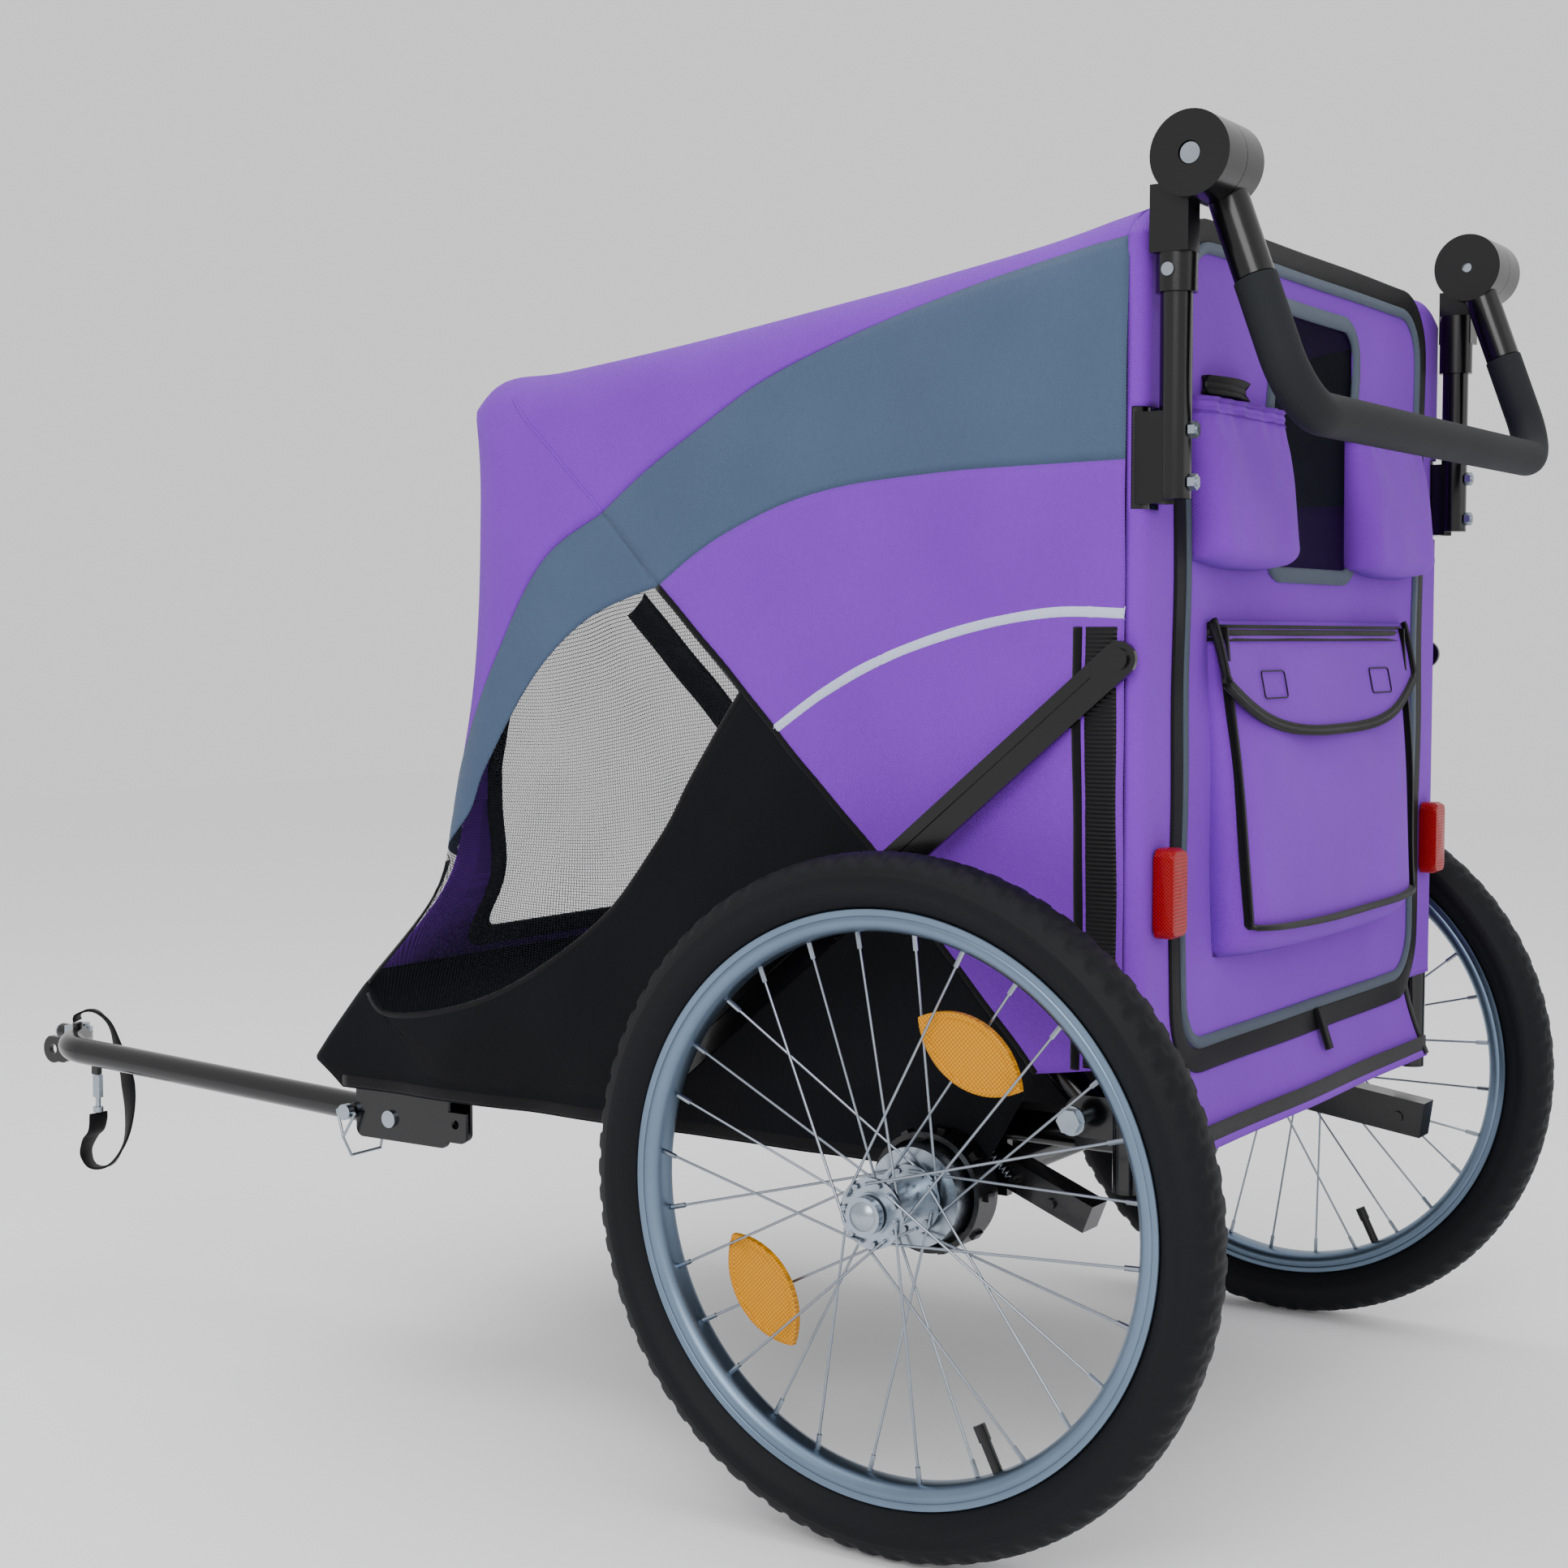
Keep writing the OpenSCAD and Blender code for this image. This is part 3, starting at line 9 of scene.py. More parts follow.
import bmesh
import bpy
import numpy as np
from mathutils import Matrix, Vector


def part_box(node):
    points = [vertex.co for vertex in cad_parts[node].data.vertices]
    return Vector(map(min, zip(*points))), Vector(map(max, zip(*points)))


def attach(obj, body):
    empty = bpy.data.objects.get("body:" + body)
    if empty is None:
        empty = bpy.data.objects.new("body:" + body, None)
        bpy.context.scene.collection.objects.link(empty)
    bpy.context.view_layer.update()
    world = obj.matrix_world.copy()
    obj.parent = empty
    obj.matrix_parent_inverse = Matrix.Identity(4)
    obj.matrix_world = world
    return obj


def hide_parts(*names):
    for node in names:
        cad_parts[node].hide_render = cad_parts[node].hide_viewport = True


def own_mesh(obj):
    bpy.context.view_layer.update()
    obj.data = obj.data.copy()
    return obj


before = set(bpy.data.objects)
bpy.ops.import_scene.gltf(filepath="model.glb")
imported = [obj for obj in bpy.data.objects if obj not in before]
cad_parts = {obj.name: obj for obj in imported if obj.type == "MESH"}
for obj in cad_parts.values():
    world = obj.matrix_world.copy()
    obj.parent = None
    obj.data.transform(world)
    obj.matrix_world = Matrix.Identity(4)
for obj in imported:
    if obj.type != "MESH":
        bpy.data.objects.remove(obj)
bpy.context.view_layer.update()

# %% [markdown]
# ## Camera first
# The camera stands behind the trailer and to its left, at about two thirds of its height. All places
# below are given from the point on the ground under the wheel axle, with X forward, because a trailer is
# built out from its axle; `MIDDLE` is how far the frame's own origin lies ahead of that point.

# %% Camera
MIDDLE = 0.417
NAMED = {1: "left", -1: "right"}
SENSOR, FOCAL, FAR_CLIP = 36.0, 55.12, 50.0
EYE = (-0.848, 1.807, 0.647)
YAW, DIP = 0.58005, 0.06054  # radians: turned from straight across, and tipped down


def shifted(points):
    """Axle-centred points moved into the frame's own axes: X minus the axle-to-middle distance."""
    moved = np.array(points, float)
    moved[..., 0] -= MIDDLE
    return moved


def aim(obj, place, toward):
    """Turns an object so that its -Z axis points along a direction, with Y up."""
    obj.location = shifted(place)
    obj.rotation_euler = Vector(toward).to_track_quat("-Z", "Y").to_euler()


lens = bpy.data.cameras.new("camera")
lens.sensor_width = SENSOR
lens.lens = FOCAL
lens.clip_end = FAR_CLIP
camera = bpy.data.objects.new("camera", lens)
bpy.context.scene.collection.objects.link(camera)
aim(camera, EYE, (math.sin(YAW) * math.cos(DIP), -math.cos(YAW) * math.cos(DIP), -math.sin(DIP)))
bpy.context.scene.camera = camera
print("camera at", [round(v, 3) for v in camera.location])

# %% [markdown]
# ## Meshes from grids
# Nearly every new piece is a grid of points worked out by a formula of two parameters. One function
# turns such a grid into a mesh, with a UV map measured in metres so that a weave keeps its real size.

# %% Grid surfaces
def link(name, mesh):
    """A new object for a mesh, at the origin. Its name's spaces become underscores."""
    obj = bpy.data.objects.new(name.replace(" ", "_"), mesh)
    bpy.context.scene.collection.objects.link(obj)
    return obj


def arc_uv(grid):
    """Distance travelled along each of the grid's two directions, in metres, at every point."""
    u = np.zeros(grid.shape[:2])
    v = np.zeros(grid.shape[:2])
    u[1:] = np.cumsum(np.linalg.norm(np.diff(grid, axis=0), axis=2), axis=0)
    v[:, 1:] = np.cumsum(np.linalg.norm(np.diff(grid, axis=1), axis=2), axis=1)
    return u, v


def surface(name, grid, wrap_u=False, wrap_v=False, caps=False, keep=None, flip=False):
    """Quads over a grid of points: quad (i, j) joins points i, i + 1 along U and j, j + 1 along V."""
    nu, nv = grid.shape[:2]
    cells_u, cells_v = (nu if wrap_u else nu - 1), (nv if wrap_v else nv - 1)
    i, j = np.meshgrid(np.arange(cells_u), np.arange(cells_v), indexing="ij")
    i1, j1 = (i + 1) % nu, (j + 1) % nv
    quads = np.stack([i * nv + j, i1 * nv + j, i1 * nv + j1, i * nv + j1], -1)
    if keep is not None:
        quads = quads[keep]
    quads = quads.reshape(-1, 4)
    if flip:
        quads = quads[:, ::-1]
    faces = quads.tolist()
    if caps:
        ends = [list(range(nv))[::-1], list(range((nu - 1) * nv, nu * nv))]
        faces += [e[::-1] for e in ends] if flip else ends
    mesh = bpy.data.meshes.new(name)
    mesh.from_pydata(shifted(grid.reshape(-1, 3)).tolist(), [], faces)
    u, v = arc_uv(grid)
    corner = np.array([index for face in faces for index in face])
    uv = np.stack([u.ravel()[corner], v.ravel()[corner]], -1)
    if wrap_v:
        sides = corner[: 4 * len(quads)]
        closing = np.tile([0, 0, 1, 1], len(quads)) > 0
        if flip:
            closing = ~closing
        last = (sides % nv == 0) & closing
        full = v[:, -1:] + np.linalg.norm(grid[:, :1] - grid[:, -1:], axis=2)
        uv[: 4 * len(quads), 1][last] = np.broadcast_to(full, v.shape).ravel()[sides][last]
    layer = mesh.uv_layers.new(name="UVMap")
    layer.data.foreach_set("uv", uv.astype(np.float32).ravel())
    mesh.polygons.foreach_set("use_smooth", [True] * len(faces))
    mesh.update()
    obj = link(name, mesh)
    drop_loose(obj)
    return obj


print("grid helpers: link, arc_uv, surface")

# %% [markdown]
# ### Small mesh tools
# Pieces are joined, creased and given a wall with the tools a modeller would use by hand. Cloth gets its
# thickness from a modifier, so one sheet of faces is enough to shape it.

# %% Small mesh tools
def drop_loose(obj):
    """Removes points that no face uses."""
    work = bmesh.new()
    work.from_mesh(obj.data)
    loose = [v for v in work.verts if not v.link_faces]
    if loose:
        bmesh.ops.delete(work, geom=loose, context="VERTS")
        work.to_mesh(obj.data)
    work.free()


def joined(name, pieces):
    """Several new pieces made one object, in the order given."""
    first = pieces[0]
    with bpy.context.temp_override(active_object=first, object=first, selected_objects=pieces,
                                   selected_editable_objects=pieces):
        bpy.ops.object.join()
    first.name = name.replace(" ", "_")
    return first


def sharpen(obj, degrees=35):
    """Marks edges sharper than an angle, so that smooth shading stops there."""
    obj.data.set_sharp_from_angle(angle=math.radians(degrees))
    return obj


def solidify(obj, thickness, offset=-1.0):
    """Gives a sheet its cloth thickness."""
    wall = obj.modifiers.new("thickness", "SOLIDIFY")
    wall.thickness = thickness
    wall.offset = offset
    return obj


print("mesh tools: drop_loose, joined, sharpen, solidify")

# %% [markdown]
# ## Curves and sweeps
# Seams and edges run through a few chosen points. A Catmull-Rom curve passes through all of them,
# and a profile carried along such a curve makes piping, binding, webbing, wire and tube.

# %% Curves and sweeps
def unit(vectors):
    """Each vector of a list made one long."""
    return vectors / np.linalg.norm(vectors, axis=1)[:, None]


def curve(points, steps=8):
    """Catmull-Rom curve: each stretch is a cubic through its two ends, aimed by their neighbours."""
    p = np.array(points, float)
    q = np.vstack([p[:1], p, p[-1:]])
    t = (np.arange(steps) / steps)[None, :, None]
    a, b, c, d = (q[k : len(p) - 1 + k][:, None] for k in range(4))
    body = 0.5 * (2 * b + (c - a) * t + (2 * a - 5 * b + 4 * c - d) * t**2
                  + (3 * b - a - 3 * c + d) * t**3)
    return np.vstack([body.reshape(-1, p.shape[1]), p[-1:]])


def evenly(points, count):
    """The same line with `count` points at equal distances along it."""
    p = np.array(points, float)
    s = np.concatenate([[0], np.cumsum(np.linalg.norm(np.diff(p, axis=0), axis=1))])
    t = np.linspace(0, s[-1], count)
    return np.stack([np.interp(t, s, p[:, k]) for k in range(p.shape[1])], -1)


print("line helpers: unit, curve, evenly")

# %% [markdown]
# ### Sweeps
# A profile is placed at each point of a path, square to the path's direction. Keeping its up close to
# a given direction stops webbing from twisting by itself.

# %% Sweeps
def square_to(path, up, closed=False):
    """Side and up at each point of a path, both square to the path's direction there."""
    if closed:
        way = np.roll(path, -1, axis=0) - np.roll(path, 1, axis=0)
    else:
        way = np.gradient(path, axis=0)
    way = unit(way)
    side = unit(np.cross(way, np.broadcast_to(np.array(up, float), path.shape)))
    return side, np.cross(side, way)


def sweep(name, path, profile, up=(0, 0, 1), closed=False):
    """A closed profile (side, up) carried along a path, square to it everywhere."""
    path, profile = np.array(path, float), np.array(profile, float)
    side, over = square_to(path, up, closed)
    grid = path[:, None] + (profile[None, :, :1] * side[:, None] + profile[None, :, 1:] * over[:, None])
    return surface(name, grid, wrap_u=closed, wrap_v=True, caps=not closed)


def circle(radius, count=12):
    """A circle's points, anticlockwise."""
    a = np.arange(count) * 2 * math.pi / count
    return np.stack([radius * np.cos(a), radius * np.sin(a)], -1)


def flat(width, thickness, bulge=0.25):
    """A webbing section: a thin rectangle whose edges are rounded off."""
    w, t = width / 2, thickness / 2
    b = w - t * 0.8
    low = [(-w, -t * bulge), (-b, -t), (b, -t), (w, -t * bulge)]
    return low + [(x, -y) for x, y in low[::-1]]


print("sweep helpers: square_to, sweep, circle, flat")

# %% [markdown]
# ### Bars and turned shapes
# Spokes are straight round bars, and a tyre or a rim is one section turned about the axle.

# %% Bars and turned shapes
def bars(name, starts, ends, radius, sides=8):
    """Many straight round bars at once: circles about both ends, square to the line between them."""
    a, b = np.array(starts, float), np.array(ends, float)
    way = unit(b - a)
    side = unit(np.cross(way, np.array([0.3, 1.0, 0.2])))
    over = np.cross(side, way)
    ring = circle(1.0, sides)
    offset = ring[None, :, :1] * side[:, None] + ring[None, :, 1:] * over[:, None]
    low, high = a[:, None] + radius * offset, b[:, None] + radius * offset
    n = len(a)
    verts = np.stack([low, high], 1).reshape(-1, 3)
    base = (np.arange(n) * 2 * sides)[:, None]
    k = np.arange(sides)[None]
    k1 = (k + 1) % sides
    quads = np.stack([base + k, base + k1, base + sides + k1, base + sides + k], -1).reshape(-1, 4)
    faces = quads.tolist() + (base + k[:, ::-1]).tolist() + (base + sides + k).tolist()
    mesh = bpy.data.meshes.new(name)
    mesh.from_pydata(shifted(verts).tolist(), [], faces)
    mesh.polygons.foreach_set("use_smooth", [True] * len(faces))
    mesh.update()
    return sharpen(link(name, mesh), 50)


def lathe(name, profile, centre, count=180, bump=None):
    """A profile of (radius, Y) turned about a line along Y. bump(angle, radius, y) may change the radius."""
    p = np.array(profile, float)
    a = (np.arange(count) * 2 * math.pi / count)[:, None]
    r = np.broadcast_to(p[None, :, 0], (count, len(p)))
    y = np.broadcast_to(p[None, :, 1], (count, len(p)))
    if bump is not None:
        r = r + bump(a, r, y)
    grid = np.stack([centre[0] + r * np.cos(a), centre[1] + y, centre[2] + r * np.sin(a)], -1)
    return outward(surface(name, grid, wrap_u=True, wrap_v=True))


def outward(obj):
    """Turns every face of a closed piece to point outwards."""
    work = bmesh.new()
    work.from_mesh(obj.data)
    bmesh.ops.recalc_face_normals(work, faces=work.faces)
    work.to_mesh(obj.data)
    work.free()
    return obj


def tape(name, path, width, thickness, up):
    """Webbing or binding: a flat section carried along a path, closed at both ends."""
    return outward(sweep(name, path, flat(width, thickness), up=up))


print("shape helpers: bars, lathe, outward, tape")

# %% [markdown]
# ## Shader maths in Python
# A socket is wrapped so that `mask * 0.2 + 1` adds the Math nodes by itself. Everything else comes from
# one method that makes a node from its type, its settings and what its sockets hold.

# %% Values
class Value:
    """A number on a surface. Sums, differences and products of values become Math nodes."""

    def __init__(self, finish, socket):
        self.finish, self.socket = finish, socket

    def _join(self, operation, a, b=0.0):
        return self.finish.node("ShaderNodeMath", {"operation": operation}, {0: a, 1: b})

    def __add__(self, other):
        return self._join("ADD", self, other)

    def __sub__(self, other):
        return self._join("SUBTRACT", self, other)

    def __mul__(self, other):
        return self._join("MULTIPLY", self, other)

    def __rsub__(self, other):
        return self._join("SUBTRACT", other, self)

    def __gt__(self, other):
        return self._join("GREATER_THAN", self, other)

    def __lt__(self, other):
        return self._join("LESS_THAN", self, other)

    __radd__, __rmul__ = __add__, __mul__

    def sin(self):
        return self._join("SINE", self)

    def abs(self):
        return self._join("ABSOLUTE", self)

    def fract(self):
        return self._join("FRACT", self)


def linear(r, g, b):
    """A colour given 0 to 255, as the light values a shader needs."""
    light = [c / 255 / 12.92 if c <= 10 else ((c / 255 + 0.055) / 1.055) ** 2.4 for c in (r, g, b)]
    return (*light, 1.0)


print("value helpers: Value, linear")

# %% [markdown]
# ### One class for every finish
# A finish is one Principled shader. What is the same all over is set on its sockets directly; what
# varies is linked, and only to sockets that can be baked later.

# %% Finish
class Finish:
    """A material: fixed numbers go straight on the shader's sockets, what varies is linked to them."""

    def __init__(self, name, **fixed):
        self.material = bpy.data.materials.new(name)
        self.material.use_nodes = True
        self.tree = self.material.node_tree
        self.shader = self.tree.nodes["Principled BSDF"]
        for label, value in fixed.items():
            self.shader.inputs[label.replace("_", " ").title().replace("Ior", "IOR")].default_value = value

    def node(self, kind, settings=None, inputs=None, out=0):
        """Any node: its type, its settings first, then the numbers or links of its sockets."""
        node = self.tree.nodes.new(kind)
        for label, value in (settings or {}).items():
            setattr(node, label, value)
        for key, value in (inputs or {}).items():
            if isinstance(value, Value):
                self.tree.links.new(value.socket, node.inputs[key])
            else:
                node.inputs[key].default_value = value
        return Value(self, node.outputs[out])

    def feed(self, label, value):
        """Links what varies to one of the shader's sockets."""
        self.tree.links.new(value.socket, self.shader.inputs[label])

    def place(self, uv=False):
        """Where on the piece: object coordinates, or the UV map where a pattern follows the surface."""
        return self.node("ShaderNodeTexCoord", out=2 if uv else 3)

    def axes(self, vector):
        """A place's X, Y and Z, or U and V, as values."""
        outs = self.node("ShaderNodeSeparateXYZ", inputs={0: vector}).socket.node.outputs
        return [Value(self, outs[k]) for k in range(3)]

    def noise(self, vector, scale, detail=2.0):
        """Cloudy noise from 0 to 1."""
        return self.node("ShaderNodeTexNoise", inputs={"Vector": vector, "Scale": scale, "Detail": detail})

    def mix(self, share, a, b):
        """Colour a where the share is 0, b where it is 1."""
        return self.node("ShaderNodeMix", {"data_type": "RGBA"}, {0: share, 6: a, 7: b}, out=2)

    def bump(self, height, distance):
        """Fine relief from a height."""
        self.feed("Normal", self.node("ShaderNodeBump", inputs={"Height": height, "Distance": distance,
                                                                "Strength": 1.0}))


def shade(colour, factor):
    """A colour made darker or lighter."""
    return (*(min(1.0, c * factor) for c in colour[:3]), 1.0)


print("finish helpers: Finish, shade")

# %% [markdown]
# ### Cloth
# The cabin is coated oxford polyester: a plain weave of thick yarns, about one millimetre apart, with a
# soft sheen. A picture of cloth would repeat and blur close up, so the weave is a formula instead: two
# sine waves multiplied make the over-and-under of the yarns, and slow noise makes the slight waviness of
# tension and handling.

# %% Cloth finishes
TURN = 2 * math.pi
YARN_TONE, SLOW_TONE, FINE_TONE, TONE_START = 0.22, 0.8, 0.3, 0.05
YARN_RISE, SLOW_RISE, FINE_RISE = 0.5, 6.0, 0.25


def cloth(name, colour, pitch=0.0021, depth=0.00035, rough=0.7, sheen=0.05, vary=0.16):
    """Oxford weave: height is sin(u) times sin(v), plus slow noise for slack in the cloth."""
    f = Finish(name, roughness=rough, sheen_weight=sheen, sheen_roughness=0.4, specular_ior_level=0.15)
    u, v, _ = f.axes(f.place(uv=True))
    yarn = (u * (TURN / pitch)).sin() * (v * (TURN / pitch)).sin()
    slow = f.noise(f.place(), 9.0, 3.0)
    fine = f.noise(f.place(), 260.0)
    tone = yarn * YARN_TONE + slow * SLOW_TONE + fine * FINE_TONE - TONE_START
    f.feed("Base Color", f.mix(tone, shade(colour, 1 - vary), shade(colour, 1 + vary)))
    f.bump(yarn * YARN_RISE + slow * SLOW_RISE + fine * FINE_RISE, depth)
    return f.material


purple = cloth("purple oxford", linear(118, 46, 183))
slate = cloth("slate grey oxford", linear(70, 86, 110))
night = cloth("night blue coated cloth", linear(4, 5, 11), rough=0.75, sheen=0.02, vary=0.3)
binding_black = cloth("black grosgrain binding", linear(5, 5, 8), pitch=0.0016, depth=0.0003, sheen=0.15,
                      vary=0.3)
piping_grey = cloth("grey reflective piping", linear(92, 104, 120), pitch=0.0008, rough=0.5)
piping_white = cloth("silver reflective tape", linear(206, 214, 240), pitch=0.0009, rough=0.4, sheen=0.1,
                     vary=0.06)
webbing_black = cloth("black nylon webbing", linear(5, 5, 8), pitch=0.0024, depth=0.0004, rough=0.6,
                      vary=0.35)
cloths = (purple, slate, night, binding_black, piping_grey, piping_white, webbing_black)
print("cloths:", [m.name for m in cloths])

# %% [markdown]
# ### Netting and zips
# Netting is a sheet whose holes are clear: drawing each thread as geometry would take millions of faces.
# A coil zip reads as short ribs across its tape, so ribs in height and gloss are enough.

# %% Netting and zip finishes
NET_RELIEF, ZIP_PITCH, ZIP_RELIEF = 0.0002, 0.003, 0.0006


def netting(name, colour, pitch, hole):
    """Open mesh: a thread wherever the sine of u + v or of u - v is small; the holes are clear."""
    f = Finish(name, base_color=colour, roughness=0.7, specular_ior_level=0.1)
    u, v, _ = f.axes(f.place(uv=True))
    a = ((u + v) * (math.pi / pitch)).sin().abs()
    b = ((u - v) * (math.pi / pitch)).sin().abs()
    thread = ((a < hole) * 1.0 + (b < hole)) > 0.5
    f.feed("Alpha", thread)
    f.bump(1 - a * b, NET_RELIEF)
    return f.material


window_net = netting("black window netting", linear(9, 12, 20), 0.0036, 0.19)
rear_net = netting("dark rear netting", linear(6, 6, 10), 0.0026, 0.45)


def zip_finish():
    """Zip teeth: short bars across the tape, every three millimetres along it."""
    f = Finish("black coil zip", base_color=linear(4, 4, 7), specular_ior_level=0.25)
    u, _, _ = f.axes(f.place(uv=True))
    teeth = (u * (TURN / ZIP_PITCH)).sin() * 0.5 + 0.5
    f.feed("Roughness", teeth * 0.3 + 0.35)
    f.bump(teeth, ZIP_RELIEF)
    return f.material


zip_black = zip_finish()
print("open and ribbed:", window_net.name, rear_net.name, zip_black.name)

# %% [markdown]
# ### Metal, paint and plastic
# Painted tube is glossy black with faint orange peel. Zinc-plated steel is cool, slightly cloudy and
# scratched. The rims are polished aluminium with turned lines. Each finish varies a little in roughness.

# %% Hard finishes
def paint(name, colour, rough, coat=0.4, peel=0.00004, grain=700.0):
    """Powder coat: fine noise in height and roughness over one colour with slow wear."""
    f = Finish(name, coat_weight=coat, coat_roughness=0.12, specular_ior_level=0.3)
    fine, slow = f.noise(f.place(), grain), f.noise(f.place(), 14.0, 4.0)
    f.feed("Base Color", f.mix(slow, shade(colour, 0.7), shade(colour, 1.5)))
    f.feed("Roughness", slow * 0.16 + (rough - 0.08))
    f.bump(fine, peel)
    return f.material


def metal(name, colour, rough, stretch=(1, 1, 1), scale=60.0, depth=0.00003):
    """Plated or turned metal: noise stretched along the way it was worked."""
    f = Finish(name, metallic=1.0)
    along = f.node("ShaderNodeMapping", inputs={"Vector": f.place(), "Scale": stretch})
    lines, cloud = f.noise(along, scale, 4.0), f.noise(f.place(), 22.0, 3.0)
    f.feed("Base Color", f.mix(cloud, shade(colour, 0.82), shade(colour, 1.12)))
    f.feed("Roughness", lines * 0.2 + cloud * 0.1 + (rough - 0.15))
    f.bump(lines, depth)
    return f.material


black_paint = paint("gloss black powder coat", linear(4, 4, 6), 0.22, coat=0.35)
black_plastic = paint("black moulded nylon", linear(4, 4, 6), 0.28, coat=0.25, peel=0.00006, grain=500.0)
foam = paint("black foam grip", linear(17, 20, 24), 0.75, coat=0.0, peel=0.0002, grain=900.0)
board = paint("black floor board", linear(5, 5, 7), 0.7, coat=0.0, peel=0.0001, grain=300.0)
zinc = metal("zinc-plated steel", linear(160, 170, 180), 0.28)
alloy = metal("turned aluminium", linear(112, 130, 150), 0.38, stretch=(1, 30, 1), scale=8.0)
spoke_steel = metal("drawn stainless wire", linear(150, 158, 168), 0.3)


def tyre_finish():
    """Tyre rubber: matt, with a faint blue bloom and moulding grain."""
    f = Finish("matt tyre rubber", specular_ior_level=0.2)
    fine, slow = f.noise(f.place(), 420.0, 3.0), f.noise(f.place(), 7.0, 3.0)
    f.feed("Base Color", f.mix(slow, linear(4, 5, 8), linear(10, 12, 18)))
    f.feed("Roughness", slow * 0.2 + 0.5)
    f.bump(fine, 0.00025)
    return f.material


rubber = tyre_finish()
hard = (black_paint, black_plastic, foam, board, zinc, alloy, spoke_steel, rubber)
print("hard finishes:", [m.name for m in hard])

# %% [markdown]
# ### Reflectors, and how a finish is put on
# A moulded reflector is a field of tiny pyramids behind clear plastic. New pieces are dressed: they get a
# finish and a body to ride on, and the CAD solids they stand for are hidden. CAD parts only get a finish.

# %% Reflectors, dressing and CAD parts
def prism(name, colour, pitch=0.0032):
    """Moulded reflector: small pyramids under clear plastic, from two crossed saw waves, each with a painted
    glow in its middle.
    """
    f = Finish(name, roughness=0.3, coat_weight=0.1, coat_roughness=0.05, specular_ior_level=0.15)
    x, _, z = f.axes(f.place())
    a = ((x + z) * (1 / pitch)).fract() - 0.5
    b = ((x - z) * (1 / pitch)).fract() - 0.5
    cell = 1 - (a.abs() + b.abs())
    # painted glow: each pyramid's middle is painted lighter and its edges darker, standing in for light the
    # reflector sends back
    f.feed("Base Color", f.mix(cell * cell, shade(colour, 0.65), shade(colour, 1.6)))
    f.bump(cell, 0.0007)
    return f.material


amber = prism("amber reflector", linear(206, 136, 0))
red = prism("red reflector", linear(150, 2, 5), 0.0026)


def dress(obj, finish, body, stands_for=()):
    """A new piece gets its finish and the body it rides on; the CAD nodes it stands for are hidden."""
    obj.data.materials.clear()
    obj.data.materials.append(finish)
    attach(obj, body)
    if stands_for:
        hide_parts(*stands_for)
    return obj


def refinish(finish, *names):
    """CAD parts keep their shape and get a finish."""
    for name in names:
        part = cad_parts[name]
        for holder in part.material_slots:
            holder.material = finish
        if not part.material_slots:
            part.data.materials.append(finish)
    print(finish.name, "on", len(names), "CAD parts")


SIDES = ("left", "right")
BRACES = [f"{part}_brace_{side}" for part in ("upper", "lower") for side in SIDES]
HUB_PARTS = [f"{part}_{side}" for part in ("release_button", "hub") for side in SIDES]
refinish(black_paint, "base_frame", "tow_bracket", "rear_hoop", "handle_posts", "front_hoop", "tow_arm",
         "hitch_plate", "latch_lever", "brake_pedal", "handle_bar", *BRACES)
refinish(black_plastic, "brake_housings", "post_saddles", "joint_forks", "post_caps", "joint_arms",
         *(f"valve_{side}" for side in SIDES))
refinish(zinc, "frame_bolts", "wheel_axles", "saddle_bolts", "joint_bolts", "hitch_pin", "pin_bail",
         "coupler_yoke", "snap_hook", *HUB_PARTS)
refinish(board, "floor_panel")
refinish(foam, "foam_grip")

# %% [markdown]
# ## The cabin's outline
# Seen from the side the cabin is a wedge: the roof falls gently forward from the rear hoop, then the
# front drops away over the front hoop to the base. Every panel meets its neighbours along the lines
# below, given as X and Z, so that no gap can open between two of them.

# %% Seam lines
HOOP_PIVOT = np.array([-0.107, 0.311])
HOOP_ANGLE = math.radians(45.5)
HOOP_WAY = np.array([math.cos(HOOP_ANGLE), math.sin(HOOP_ANGLE)])
BAND_TOP_AT, BAND_LOW_AT, NET_AT = 0.610, 0.528, 0.415  # where seams cross the hoop, from its pivot
BAND_OUT_Z, BAND_IN_Z, NET_Z, NOSE_Z = 0.509, 0.462, 0.355, 0.284  # where they reach the front's line
HEM = 0.258
REAR_X = -0.158
CORNER = 0.012
SIDE_REAR = REAR_X + CORNER
FRONT_TOP = [(0.473, 0.837), (0.468, 0.760), (0.476, 0.620), (0.499, BAND_OUT_Z)]


def on_hoop(distance):
    """The point of the front hoop's leg that lies this far from its pivot."""
    return HOOP_PIVOT + distance * HOOP_WAY


roof_line = curve([(SIDE_REAR, 0.9415), (-0.070, 0.926), (0.060, 0.908), (0.240, 0.882), (0.380, 0.865),
                   (0.443, 0.861), FRONT_TOP[0]])
front_line = curve(FRONT_TOP + [(0.515, 0.433), (0.590, 0.346), (0.640, NOSE_Z)])
band_top = curve([(SIDE_REAR, 0.919), (0.0, 0.893), (0.130, 0.855), (0.240, 0.800), on_hoop(BAND_TOP_AT)])
band_low = curve([(SIDE_REAR, 0.768), (0.0, 0.766), (0.110, 0.757), (0.200, 0.728), on_hoop(BAND_LOW_AT)])
band_outer = curve([on_hoop(BAND_TOP_AT), (0.378, 0.712), (0.432, 0.630), (0.474, 0.548), FRONT_TOP[-1]])
band_inner = curve([on_hoop(BAND_LOW_AT), (0.335, 0.663), (0.398, 0.608), (0.442, 0.541), (0.462, 0.500),
                    (0.508, BAND_IN_Z)])
net_low = curve([on_hoop(NET_AT), (0.232, 0.540), (0.262, 0.490), (0.318, 0.425), (0.400, 0.368),
                 (0.480, 0.336), (0.560, 0.326), (0.582, NET_Z)])
outline = np.vstack([roof_line, front_line[1:]])


